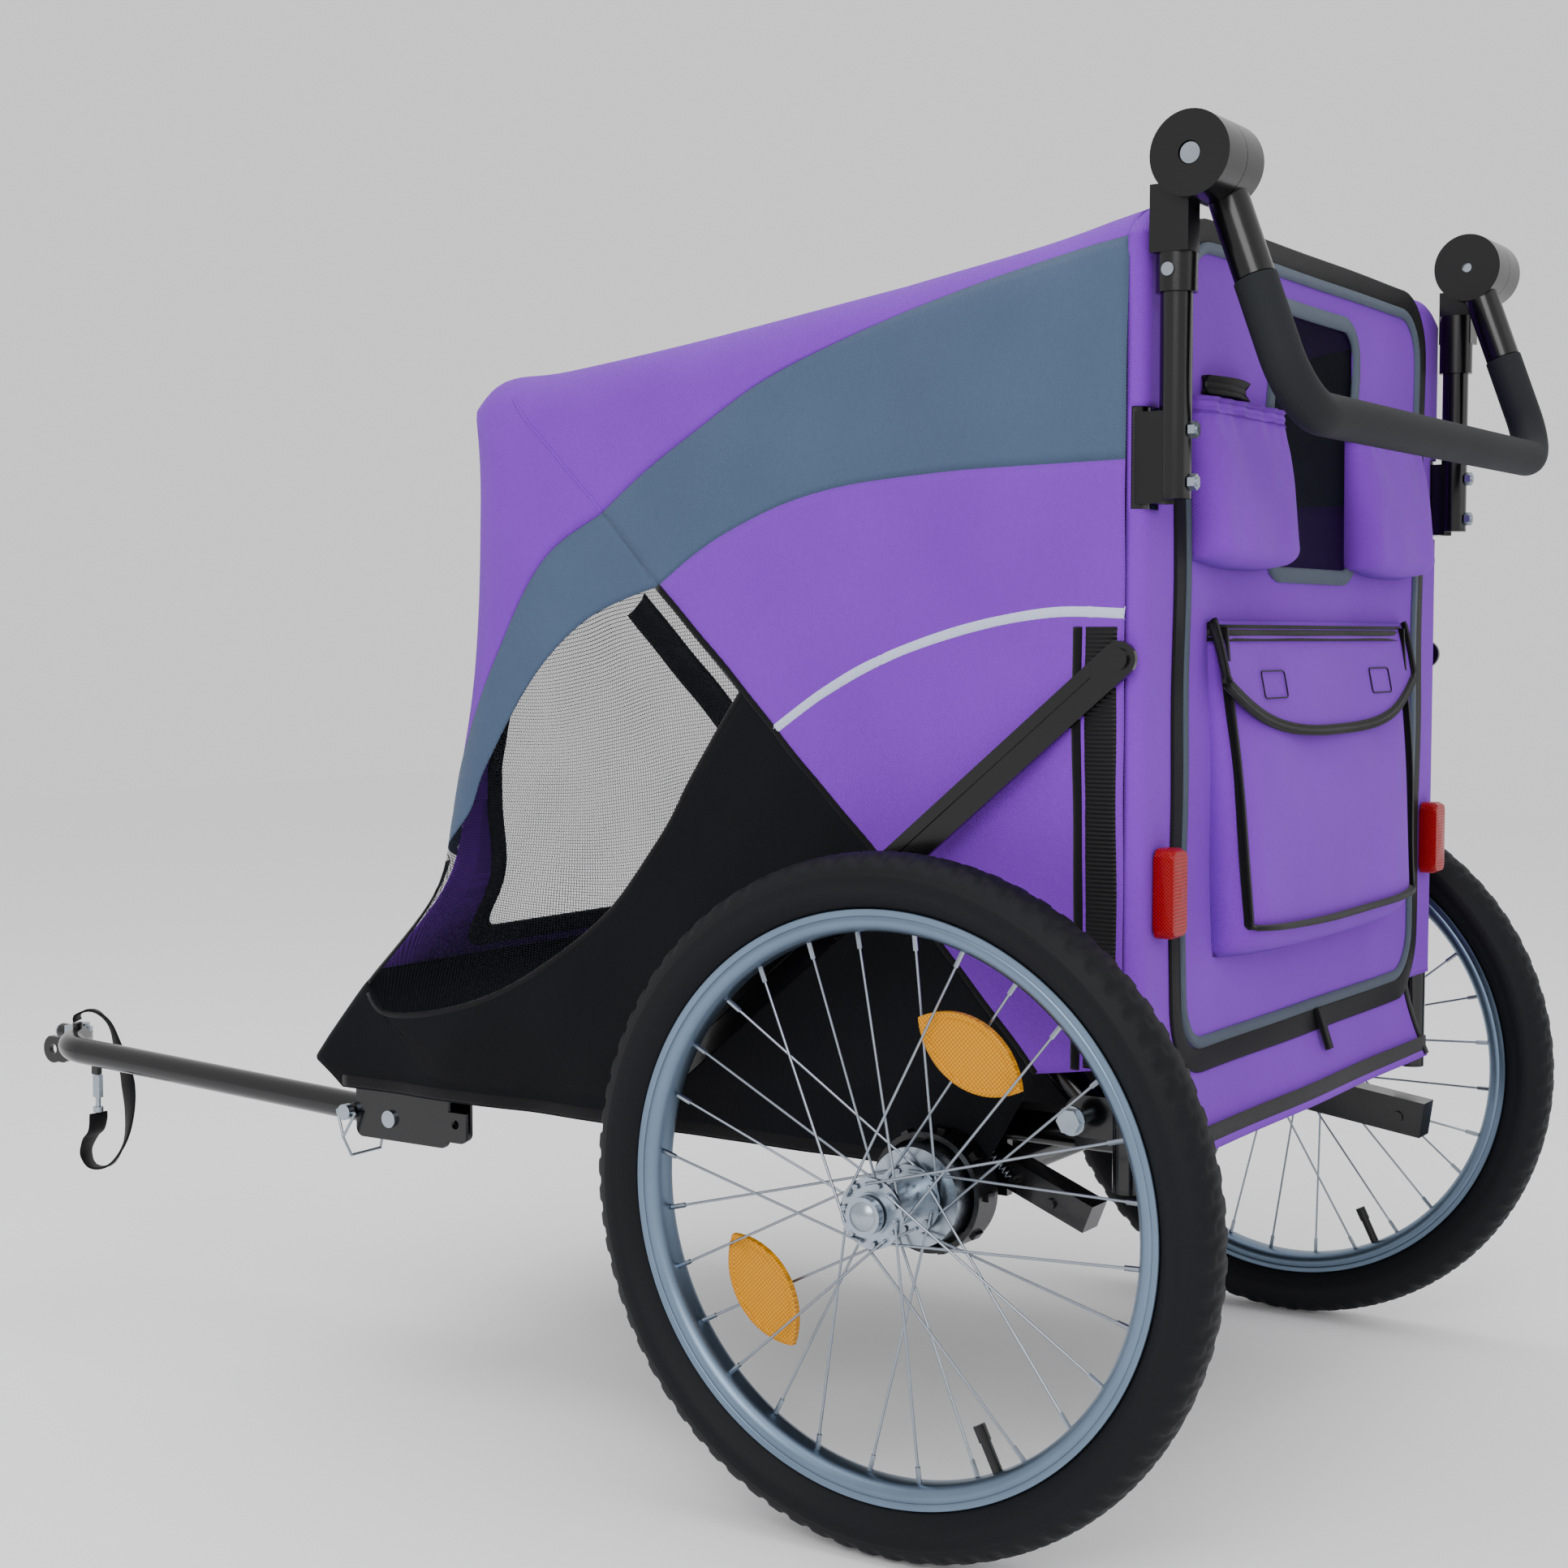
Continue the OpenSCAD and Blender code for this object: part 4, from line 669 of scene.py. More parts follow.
def front_stretch(low, high):
    """The part of the front's line between two heights, from low to high."""
    z = np.linspace(low, high, 24)
    return np.stack([np.interp(z, front_line[::-1, 1], front_line[::-1, 0]), z], -1)


for seam_line, height in ((band_outer, BAND_OUT_Z), (band_inner, BAND_IN_Z), (net_low, NET_Z)):
    seam_line[-1] = front_stretch(height, height + 0.001)[0]
print("outline points", len(outline))

# %% [markdown]
# ### Side walls
# The side walls stand parallel round the rear hoop, then taper in a little to the front hoop. Near the
# outline the cloth turns over on to the roof or front: at distance d inside the outline, with corner
# radius r, the half width is `half - r + sqrt(r*r - (r - d)**2)`.

# %% Side walls
def corner_radius(z):
    """The corner is soft round the roof and tightens towards the base."""
    return np.interp(z, [0.30, 0.36, 0.50], [0.008, 0.014, 0.042])


def half_width(x):
    """Half the cabin's width at a place along its length, before the corner is rounded."""
    return np.interp(x, [-0.12, 0.06, 0.26], [0.3120, 0.2880, 0.2862])


def inside(x, z):
    """Distance from a side point to the nearest point of the outline."""
    a, b = outline[:-1], outline[1:]
    way = b - a
    dx, dz = x[..., None] - a[:, 0], z[..., None] - a[:, 1]
    share = np.clip((dx * way[:, 0] + dz * way[:, 1]) / (way**2).sum(1), 0, 1)
    return np.hypot(dx - share * way[:, 0], dz - share * way[:, 1]).min(-1)


def slack(x, z):
    """The cloth's small waves, up to about three millimetres: crossed sines that never line up."""
    return (0.0014 * np.sin(31 * x + 17 * z + 0.7) + 0.0012 * np.sin(23 * z - 41 * x + 2.1)
            + 0.0005 * np.sin(83 * x + 61 * z))


def side_y(x, z, lift=0.0):
    """Half width with the rounded corner, the cloth's waves and a small lift for what is sewn on."""
    r = corner_radius(z)
    near = np.clip(inside(x, z), 0, r)
    turn = r - np.sqrt(np.maximum(r**2 - (r - near) ** 2, 0))
    calm = near / r
    return half_width(x) - turn + (slack(x, z) + 0.0010) * calm + 0.0004 + lift


def on_side(xz, s, lift=0.0):
    """Side-wall points from X and Z."""
    x, z = xz[..., 0], xz[..., 1]
    return np.stack([x, s * side_y(x, z, lift), z], -1)


def coons(bottom, top, left, right, nu, nv):
    """A grid between four edges: each point averages the two pairs of edges, less the four corners."""
    b, t = evenly(bottom, nu)[:, None], evenly(top, nu)[:, None]
    l, r = evenly(left, nv)[None], evenly(right, nv)[None]
    u = np.linspace(0, 1, nu)[:, None, None]
    v = np.linspace(0, 1, nv)[None, :, None]
    flat_part = ((1 - u) * (1 - v) * b[:1] + u * (1 - v) * b[-1:] + (1 - u) * v * t[:1] + u * v * t[-1:])
    return (1 - v) * b + v * t + (1 - u) * l + u * r - flat_part


print("half width at the rear and at the front", half_width(np.array([SIDE_REAR, 0.4])))

# %% [markdown]
# ### Panels, tapes and folding
# A panel is cut once and sewn on both sides. The cover rides the base and does not fold with the hoops,
# because folding cloth for real would need a simulation for every pose.

# %% Panels and tapes
CLOTH = 0.0008


def cover(obj, finish, stands_for=()):
    """A piece of the cabin cover: it rides the base, with a mesh of its own."""
    dress(obj, finish, "base", stands_for)
    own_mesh(obj)
    return obj


def panel(name, bottom, top, left, right, counts):
    """The same side panel for the left and for the right."""
    xz = coons(bottom, top, left, right, *counts)
    return [solidify(surface(f"{name} {NAMED[s]}", on_side(xz, s), flip=s < 0), CLOTH) for s in (1, -1)]


def strip(name, xz, width, lift, s, count):
    """Tape sewn on a side wall: a flat section carried along a line, lying against the cloth."""
    line = evenly(xz, count)
    way = unit(np.gradient(line, axis=0))
    cross = np.stack([-way[:, 1], way[:, 0]], -1)
    t = np.linspace(-0.5, 0.5, 5)
    across = line[:, None] + t[None, :, None] * width * cross[:, None]
    grid = on_side(across, s, lift)
    grid[:, [0, -1], 1] -= s * lift * 0.8
    return solidify(surface(f"{name} {NAMED[s]}", grid, flip=s < 0), TAPE, 1.0)


def line_between(a, b):
    """A straight edge."""
    return np.array([a, b], float)


TAPE = 0.0012
print("cloth and tape thickness", CLOTH, TAPE)

# %% [markdown]
# ### Side panels, bands, windows and skirts
# Purple lower panels, slate bands that sweep over the windows, open netting, and black coated skirts
# that keep out spray.

# %% Sew the sides
side_low = line_between((SIDE_REAR, 0.352), (-0.078, 0.341))
hoop_edge = line_between(side_low[1], on_hoop(BAND_LOW_AT))
net_front = front_stretch(NET_Z, BAND_IN_Z)
skirt_low = line_between((-0.028, HEM), (0.606, HEM))
skirt_top = np.vstack([net_low, front_stretch(NOSE_Z, NET_Z)[::-1][1:]])
skirt_rear = np.array([skirt_low[0], side_low[1], on_hoop(NET_AT)])
edges = {
    "side panel": (side_low, band_low, line_between(side_low[0], band_low[0]), hoop_edge, (60, 60)),
    "rear band": (band_low, band_top, line_between(band_low[0], band_top[0]),
                  line_between(band_low[-1], band_top[-1]), (60, 20)),
    "front band": (band_inner, band_outer, line_between(band_inner[0], band_outer[0]),
                   front_stretch(BAND_IN_Z, BAND_OUT_Z), (60, 14)),
    "side window": (net_low, band_inner, line_between(net_low[0], band_inner[0]), net_front, (70, 50)),
    "side skirt": (skirt_low, skirt_top, skirt_rear, line_between(skirt_low[1], (0.640, NOSE_Z)), (90, 50)),
}
sides = {name: panel(name, *cut) for name, cut in edges.items()}
print({name: len(halves) for name, halves in sides.items()})

# %% [markdown]
# ### Roof, corners and front as one sheet
# The roof, its two corner panels and the front are one cut in effect: cloth runs up from the band's
# seam, turns over the corner, crosses the roof and comes down the other side. Each station along the
# outline is such a hoop of cloth, so the grid's two directions are along the outline and over the top.

# %% Upper shell
STATIONS, ACROSS = 150, 36
over_line = evenly(np.vstack([roof_line, curve(FRONT_TOP)[1:]]), STATIONS)
seam = evenly(np.vstack([band_top, band_outer[1:]]), STATIONS)


def over_the_top():
    """For each station: side points from seam to corner, round the corner, then cloth across the top."""
    gap = np.linalg.norm(over_line - seam, axis=1)
    share = np.sin(np.linspace(0, 1, 26) * math.pi / 2)
    xz = seam[:, None] + share[None, :, None] * (over_line - seam)[:, None]
    left = on_side(xz, 1)
    edge = left[:, -1]
    flat_share = np.linspace(1, -1, ACROSS + 1)[1:-1]
    fade = 1 - flat_share**2
    way = unit(np.gradient(over_line, axis=0))
    out = np.stack([-way[:, 1], way[:, 0]], -1)
    rise = 0.004 * fade[None] * np.minimum(1, gap / 0.05)[:, None]
    y, x = edge[:, 1:2] * flat_share, over_line[:, :1]
    waves = 0.0012 * np.sin(19 * y + 40 * x) + 0.0009 * np.sin(33 * x - 9 * y)
    lift = rise + waves * fade[None]
    top = np.stack([x + out[:, :1] * lift, y, over_line[:, 1:] + out[:, 1:] * lift], -1)
    right = left[:, ::-1] * np.array([1, -1, 1])
    return np.concatenate([left, top, right], axis=1)


shell = over_the_top()
print("shell points", shell.shape[:2])

# %% [markdown]
# ### Front wall and its window
# The window's hole is left by skipping the faces inside its outline. Below the shell the front goes on
# as two more sheets: purple down to a waist, and black coated cloth under it. Netting lies behind the
# hole and a flat black binding hides its cut edge.

# %% Front wall
WINDOW_LOW, WINDOW_WAIST, WINDOW_HIGH = 0.380, 0.536, 0.720
WINDOW_HALF_LOW, WINDOW_HALF = 0.176, 0.216
FRONT_LOW, SHELL_END = 0.362, 0.5095


def window_half(z):
    """Half the front window's width: it narrows towards the bottom."""
    return np.interp(z, [WINDOW_LOW, WINDOW_WAIST], [WINDOW_HALF_LOW, WINDOW_HALF])


def outside_window(grid):
    """True for the faces of a grid whose middle lies outside the front window."""
    x, y, z = np.moveaxis((grid[:-1, :-1] + grid[1:, 1:]) / 2, -1, 0)
    return ~((np.abs(y) < window_half(z)) & (z > WINDOW_LOW) & (z < WINDOW_HIGH) & (x > 0.44))


upper_shell = solidify(surface("roof and front", shell, flip=True, keep=outside_window(shell)), CLOTH)


def wall_at(z):
    """X of the front's cloth at a height."""
    order = np.argsort(front_line[:, 1])
    return np.interp(z, front_line[order, 1], front_line[order, 0])


def front_rise(y, z):
    """How far the front bellies forward: most at mid width, fading to nothing where the shell ends."""
    return 0.004 * (1 - (y / 0.244) ** 2) * np.clip((z - SHELL_END) / 0.06, 0, 1)


def front_sheet(name, low, high, counts, half=None, forward=0.0, cut=False):
    """A piece of the front wall between two heights. It spans corner to corner unless half is given."""
    z = np.linspace(low, high, counts[0])
    side = side_y(wall_at(z), z) if half is None else half + 0 * z
    share = np.linspace(-1, 1, counts[1])
    y, zz = side[:, None] * share, z[:, None] + 0 * share
    grid = np.stack([wall_at(zz) + front_rise(y, zz) + forward, y, zz], -1)
    return surface(name, grid, keep=outside_window(grid) if cut else None)


TUCK = 0.008
front_middle = solidify(front_sheet("front middle", FRONT_LOW, SHELL_END, (60, 130), cut=True), CLOTH, 0.0)
lower_front = solidify(front_sheet("lower front", NOSE_Z, FRONT_LOW, (24, 40)), CLOTH, 0.0)
front_net = front_sheet("front window", WINDOW_LOW - TUCK, WINDOW_HIGH + TUCK, (50, 60),
                        half=WINDOW_HALF + TUCK, forward=-0.0005)
print("front wall points", [len(o.data.vertices) for o in (front_middle, lower_front, front_net)])

# %% [markdown]
# ### Binding round an opening
# Binding is a flat section carried round a closed line that lies on a wall. Its X comes from the wall's
# own formula, so it never sinks into the cloth.

# %% Binding round an opening
def closed_loop(half, low, high, r, count=140):
    """A rectangle with rounded corners, as Y and Z."""
    a = np.linspace(0, math.pi / 2, 9)
    middles = [(half - r, high - r), (-half + r, high - r), (-half + r, low + r), (half - r, low + r)]
    corners = [np.stack([y + r * np.cos(a + k * math.pi / 2), z + r * np.sin(a + k * math.pi / 2)], -1)
               for k, (y, z) in enumerate(middles)]
    return evenly(np.vstack(corners + [corners[0][:1]]), count + 1)[:-1]


def trim(name, ring, at, width, thickness):
    """Binding laid flat round a closed ring of Y and Z, on a wall whose X comes from `at(y, z)`."""
    along = np.roll(ring, -1, 0) - np.roll(ring, 1, 0)
    out = unit(np.stack([along[:, 1], -along[:, 0]], -1))
    out *= np.sign(((ring - ring.mean(0)) * out).sum(1))[:, None]
    section = np.array(flat(width, thickness))
    yz = ring[:, None] + section[None, :, :1] * out[:, None]
    x = at(yz[..., 0], yz[..., 1]) + section[None, :, 1]
    return outward(surface(name, np.concatenate([x[..., None], yz], -1), wrap_u=True, wrap_v=True))


def on_front(y, z):
    """X of what is sewn on the front wall."""
    return wall_at(z) + front_rise(y, z) + 0.0006


ring = closed_loop(WINDOW_HALF, WINDOW_LOW, WINDOW_HIGH, 0.03, 300)
ring[:, 0] *= window_half(ring[:, 1]) / WINDOW_HALF
front_trim = trim("front window binding", ring, on_front, 0.020, 0.008)
print("binding points", len(front_trim.data.vertices))

# %% [markdown]
# ### Piping, zips and bindings on the sides
# A silver reflective arc crosses the side panel, a zip runs up beside the rear hoop, and thin black
# tape covers most seams. All are flat tapes on the same wall formula, lifted about a millimetre; each
# row gives a tape's group, name, line, width, lift and number of points.

# %% Side trims
ZIP_X, ZIP_TOP, ZIP_EDGE_X = -0.1290, 0.655, -0.1110
arc_line = curve([(SIDE_REAR, 0.664), (-0.090, 0.665), (-0.020, 0.655), (0.050, 0.635), (0.110, 0.607),
                  (0.155, 0.578)])
zip_line = line_between((ZIP_X, 0.350), (ZIP_X, ZIP_TOP))
zip_edge = line_between((ZIP_EDGE_X, 0.348), (ZIP_EDGE_X, ZIP_TOP))
sleeve = line_between(on_hoop(0.385), on_hoop(0.535)) + (0.019, -0.019)
band_seam = line_between(on_hoop(0.530), on_hoop(0.608))
roof_seam = line_between(on_hoop(0.612), on_hoop(0.745))
tapes = [
    ("arc", "reflective arc", arc_line, 0.010, 0.0012, 90),
    ("zip", "side zip", zip_line, 0.034, 0.0012, 90),
    ("seams", "hoop seam", hoop_edge, 0.007, 0.0012, 90),
    ("seams", "window sleeve", sleeve, 0.024, -0.0040, 90),
    ("seams", "net seam", evenly(net_low, 120)[:-3], 0.006, 0.0010, 90),
    ("seams", "front net seam", net_front[::-1] - (0.004, 0.003), 0.006, 0.0010, 60),
    ("seams", "zip binding", zip_edge, 0.009, 0.0018, 90),
    ("band_seam", "band seam", band_seam, 0.0028, 0.0008, 90),
    ("roof_seam", "roof corner seam", roof_seam, 0.0028, 0.0008, 90),
    ("hem", "skirt hem", evenly(skirt_low, 40) + (0, 0.006), 0.012, 0.0014, 90),
]
trims = {group: [] for group, *_ in tapes}
for s in (1, -1):
    for group, name, line, width, lift, count in tapes:
        trims[group].append(strip(name, line, width, lift, s, count))
print({group: len(made) for group, made in trims.items()})

# %% [markdown]
# ### Rear wall
# The rear wall hangs on the rear hoop and tilts with it. Its sides turn a tight corner to meet the side
# panels, and its top turns the same way on to the roof. The saddles that clamp the handle's posts pass
# through two small cut-outs. Below the door a short flap swings back over the axle.

# %% Rear wall
REAR_TOP, REAR_LOW = 0.9415, 0.284
WIDE = float(half_width(np.array(SIDE_REAR))) - 0.0015
DOOR_HALF, DOOR_LOW, DOOR_HIGH = 0.248, 0.350, 0.934
REAR_WINDOW_HALF, REAR_WINDOW_LOW, REAR_WINDOW_HIGH = 0.088, 0.6975, 0.8965


def rear_x(y, z):
    """X of the rear wall: flat, with slight waves, and swinging back below the door."""
    swing = 0.022 * (np.clip(0.352 - z, 0, 1) / 0.07) ** 1.4
    calm = np.clip((0.30 - np.abs(y)) / 0.05, 0, 1)
    return REAR_X + 0.0008 - swing + 0.0012 * np.sin(21 * y + 13 * z) * np.sin(27 * z - 6 * y) * calm


def rear_grid(y_count, z_count):
    """Flat cloth with a quarter-round corner at each side and along the top."""
    turn = np.linspace(0, math.pi / 2, 7)
    over, back_off = CORNER * np.sin(turn[1:]), CORNER * (1 - np.cos(turn[1:]))
    flat_half, top_flat = WIDE - CORNER, REAR_TOP - CORNER
    level = np.linspace(-flat_half, flat_half, y_count)
    y = np.concatenate([-flat_half - over[::-1], level, flat_half + over])
    back_y = np.concatenate([back_off[::-1], np.zeros(y_count), back_off])
    z = np.concatenate([np.linspace(REAR_LOW, top_flat, z_count), top_flat + over])
    back_z = np.concatenate([np.zeros(z_count), back_off])
    yy, zz = np.meshgrid(y, z, indexing="ij")
    back = np.maximum(np.broadcast_to(back_y[:, None], yy.shape), back_z[None])
    near_top = np.clip((REAR_TOP - zz) / 0.05, 0, 1)
    pull = np.where(np.abs(yy) > WIDE - 0.045, (np.abs(yy) - WIDE + 0.045) ** 2 / 0.09, 0) * (1 - near_top)
    return np.stack([rear_x(yy, zz) + back, yy, zz - pull], -1)


wall = rear_grid(150, 150)
mid = (wall[:-1, :-1] + wall[1:, 1:]) / 2
my, mz = np.abs(mid[..., 1]), mid[..., 2]
window_hole = (my < REAR_WINDOW_HALF) & (mz > REAR_WINDOW_LOW) & (mz < REAR_WINDOW_HIGH)
saddle_holes = (my > 0.2855) & (my < 0.3095) & (mz > 0.736) & (mz < 0.802)
beside_flap = (mz < DOOR_LOW) & (my > 0.240)
rear_wall = solidify(surface("rear wall", wall, keep=~(window_hole | saddle_holes | beside_flap)), CLOTH)
print("rear wall faces", len(rear_wall.data.polygons))

# %% [markdown]
# ### Door, rear window and tapes
# The door is a zip and a reflective piping that run round the wall just inside its edge. The rear
# window's piping is puckered, as sewn elastic is: a small sine across its long sides.

# %% Door and rear window
def rear_sheet(name, half, low, high, lift, count=40):
    """A rectangle of cloth that lies on the rear wall."""
    z, y = np.meshgrid(np.linspace(low, high, count), np.linspace(-half, half, count), indexing="ij")
    return surface(name, np.stack([rear_x(y, z) - lift, y, z], -1), flip=True)


def on_rear(y, z):
    """X of what is sewn on the rear wall."""
    return rear_x(y, z) - 0.0016


def rear_ring(grow, top, r):
    """The door's outline, larger by `grow`, with its top at a height."""
    return closed_loop(DOOR_HALF + grow, DOOR_LOW - grow, top, r, 260)


def tape_on_rear(name, yz, width):
    """Flat tape laid on the rear wall along a line of Y and Z."""
    line = evenly(yz, 60)
    points = np.stack([rear_x(line[:, 0], line[:, 1]) - 0.0015, line[:, 0], line[:, 1]], -1)
    return tape(name, points, width, 0.0016, (1, 0, 0))


rear_window = rear_sheet("rear window", REAR_WINDOW_HALF + 0.006, REAR_WINDOW_LOW - 0.006,
                         REAR_WINDOW_HIGH + 0.006, -0.001)
window_ring = closed_loop(REAR_WINDOW_HALF + 0.002, REAR_WINDOW_LOW - 0.002, REAR_WINDOW_HIGH + 0.002, 0.022)
bend = np.linspace(0, TURN, len(window_ring), endpoint=False)
window_ring[:, 0] += 0.0022 * np.sin(9 * bend + 0.8) * (np.abs(window_ring[:, 0]) > 0.07)
window_piping = trim("rear window piping", window_ring, on_rear, 0.012, 0.0040)
door_zip = trim("door zip", rear_ring(0.006, DOOR_HIGH, 0.044), on_rear, 0.017, 0.0030)
door_piping = trim("door piping", rear_ring(-0.006, DOOR_HIGH - 0.011, 0.038), on_rear, 0.009, 0.0050)
rear_hem = tape_on_rear("rear hem", [(-0.240, 0.2925), (0.240, 0.2925)], 0.018)
side_hems = [tape_on_rear(f"rear flap edge {NAMED[s]}", [(s * 0.236, 0.350), (s * 0.236, 0.286)], 0.010)
             for s in (1, -1)]
print("door", 2 * DOOR_HALF, "m wide,", round(DOOR_HIGH - DOOR_LOW, 3), "m high")

# %% [markdown]
# ### Pocket and pouches
# The big pocket bellies out towards its floor like a bag with something light in it: its depth is the
# mouth's depth plus a share that follows a sine towards the bottom. Two bottle pouches have elastic
# mouths, gathered by a cosine that grows towards the top.

# %% Sewn bags
def bag(centre_y, low, high, half_low, half_high, deep_low, deep_high, belly, gather=0.0):
    """An open bag on the rear wall. Width and depth change with height; the front is a flattened arch."""
    a = np.linspace(0, 1, 60)[:, None]
    v = np.linspace(0, 1, 44)[None]
    round_u = 2 * a - 1
    arch = (1 - np.abs(round_u) ** 7) ** (1 / 2.2)
    half = half_low + (half_high - half_low) * v
    deep = deep_low + (deep_high - deep_low) * v + belly * np.sin(math.pi * v**0.8) ** 2
    rise = 1 - (1 - np.clip(v / 0.12, 0, 1)) ** 2
    ripple = 1 + gather * np.cos(14 * math.pi * a) * np.clip((v - 0.75) / 0.25, 0, 1)
    x = REAR_X + 0.0012 - deep * arch * (0.18 + 0.82 * np.sqrt(rise)) * ripple
    x -= 0.0012 * np.sin(9 * round_u) * np.sin(7 * v) * arch
    y = centre_y + half * np.sign(round_u) * np.abs(round_u) ** 0.82
    z = low + (high - low) * v - 0.006 * (1 - v) * (1 - round_u**2)
    return np.stack([x, y, z], -1)


UP, BACK = (0, 0, 1), (-1, 0, 0)
pocket_grid = bag(0.0, 0.4165, 0.655, 0.187, 0.202, 0.036, 0.0085, 0.003)
pocket = solidify(surface("sewn rear pocket", pocket_grid), CLOTH)
pocket_mouth = evenly(pocket_grid[:, -1], 80) + (-0.0006, 0, -0.004)
pocket_rim = tape("pocket mouth binding", pocket_mouth, 0.003, 0.012, UP)
EDGE = 2
one_side, other_side = pocket_grid[EDGE, ::-1][:-4], pocket_grid[-1 - EDGE, ::-1][:-4][::-1]
front_edge = np.concatenate([one_side, pocket_grid[EDGE:-EDGE, 4][1:-1], other_side])
ruffle = 0.0016 * np.sin(np.linspace(0, 34, 200))[:, None] * np.array([0, 1.0, 0])
ruffled = evenly(front_edge, 200) + ruffle + (-0.0016, 0, 0)
pocket_trim = tape("pocket edge binding", ruffled, 0.0035, 0.010, BACK)
pouches, pouch_rims = [], []
for s in (1, -1):
    grid = bag(s * 0.1565, 0.703, 0.814, 0.0800, 0.0825, 0.031, 0.012, 0.002, gather=0.10)
    pouches.append(solidify(surface(f"bottle pouch {NAMED[s]}", grid), CLOTH))
    mouth = evenly(grid[:, -1], 120) + (-0.0004, 0, -0.003)
    pouch_rims.append(tape(f"pouch elastic {NAMED[s]}", mouth, 0.0032, 0.011, UP))
print("pocket and pouches", 1 + len(pouches))

# %% [markdown]
# ### Pocket flap
# The flap leaves the wall at its seam and slopes back over the pocket's mouth; it turns about that seam.
# It has a curved lower edge, black binding, and two stitched squares of hook tape.

# %% Flap and its stitching
FLAP_TOP, FLAP_DROP, FLAP_OUT = 0.660, 0.084, 0.0195


def flap_out(z):
    """How far the flap stands off the wall at a height."""
    return FLAP_OUT * np.clip((FLAP_TOP - z) / FLAP_DROP, 0, 1) ** 0.75


def flap_grid(nu=70, nv=26):
    """A sheet whose lower edge is an arch: the drop shrinks with the cube of the distance from the middle."""
    a = np.linspace(-1, 1, nu)[:, None]
    v = np.linspace(0, 1, nv)[None]
    z = FLAP_TOP - (0.0835 - 0.038 * np.abs(a) ** 3) * v
    x = REAR_X - 0.0035 - flap_out(z) - 0.0010 * np.sin(8 * a) * v
    return np.stack([x, 0.2035 * a + 0 * z, z], -1)


def stitched_square(y, width=0.045, height=0.020):
    """Thread round a rectangle: a thin raised line on the flap."""
    loop = closed_loop(width / 2, 0.603, 0.603 + height, 0.003, 80)
    path = np.stack([REAR_X - 0.0046 - flap_out(loop[:, 1]), loop[:, 0] + y, loop[:, 1]], -1)
    return sweep(f"stitching {NAMED[1 if y > 0 else -1]}", path, circle(0.0006, 6), up=(1, 0, 0), closed=True)


flap = flap_grid()
flap_piece = solidify(surface("sewn pocket flap", flap), CLOTH)
flap_line = np.concatenate([flap[0], flap[1:-1, -1], flap[-1][::-1]])
flap_trim = tape("flap binding", evenly(flap_line, 160) + (-0.0004, 0, 0), 0.0024, 0.008, (0, 0.25, 1))
stitching = [stitched_square(y) for y in (-0.115, 0.115)]
print("flap points", flap.shape[:2])

# %% [markdown]
# ### Small parts of the rear wall
# A webbing tab above one pouch, the door's zip pull, and two red reflectors clamped at the wall's edges.

# %% Tab, zip pull and reflectors
tab_y = np.linspace(0.142, 0.216, 30)
tab_x = REAR_X - 0.002 - 0.006 * np.sin(np.linspace(0, math.pi, 30))
hang_loop = tape("webbing tab", np.stack([tab_x, tab_y, 0.826 + 0 * tab_y], -1), 0.0018, 0.013, UP)
pull_path = curve([(REAR_X - 0.003, -0.020, 0.352), (REAR_X - 0.0075, -0.020, 0.338),
                   (REAR_X - 0.013, -0.021, 0.320)], 6)
zip_pull = tape("zip pull", pull_path, 0.0022, 0.008, (0, 1, 0))


def reflector(name, centre, half_y, half_z, depth):
    """A moulded reflector on the rear wall: bevelled edges and a slightly domed face."""
    ring = closed_loop(half_y, -half_z, half_z, 0.006, 60)
    layers = [(0.90, 0.0), (1.0, 0.1), (1.0, 0.72), (0.93, 0.97), (0.6, 1.0), (0.0, 1.03)]
    grid = np.stack([np.stack([0 * ring[:, 0] + centre[0] - depth * t, centre[1] + k * ring[:, 0],
                               centre[2] + k * ring[:, 1]], -1) for k, t in layers])
    return outward(surface(name, grid, wrap_v=True, caps=True))


low_corner, high_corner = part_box("rear_reflectors")
red_size = [high - low for low, high in zip(low_corner, high_corner)]
red_z = (low_corner[2] + high_corner[2]) / 2
rear_reds = [reflector(f"red reflector {NAMED[s]}", (high_corner[0] + MIDDLE, s * 0.280, red_z), 0.0128,
                       red_size[2] / 2, red_size[0] * 0.97) for s in (1, -1)]
print("red reflectors", len(rear_reds))

# %% [markdown]
# ## Wheels
# Each wheel is a 20-inch cycle wheel on one end of the axle tube: tyre with shoulder knobs, box-section
# rim, twenty-eight crossed spokes with nipples, two amber reflectors. Everything is turned about the
# axle, so a section in radius and width is enough for tyre and rim.

# %% Tyre and rim
WHEEL_Y, AXLE_Z = 0.377, 0.250
SPOKE_END, FLANGE_R, FLANGE_GAP = 0.193, 0.021, 0.025
SPOKES = 28


def mirrored(half):
    """The other half of a section: the same points on the other side of the wheel's middle, backwards."""
    return [(r, -y) for r, y in half[::-1]]


def tyre_section():
    """Crown and side walls from one circle-like arc, then two beads inside the rim."""
    a = np.radians(np.linspace(-122, 122, 61))
    height = 0.2288 + 0.0212 * np.cos(a) * np.where(np.cos(a) > 0, 1, 0.75)
    width = 0.0235 * np.sign(np.sin(a)) * np.abs(np.sin(a)) ** 0.92
    bead = [(0.2085, 0.0108), (0.2075, 0.008), (0.214, 0.0065)]
    return np.vstack([np.stack([height, width], -1), bead + mirrored(bead)])


def steep(wave):
    """A sine with its flanks made steep, so that knobs get square edges."""
    return np.tanh(7 * wave)


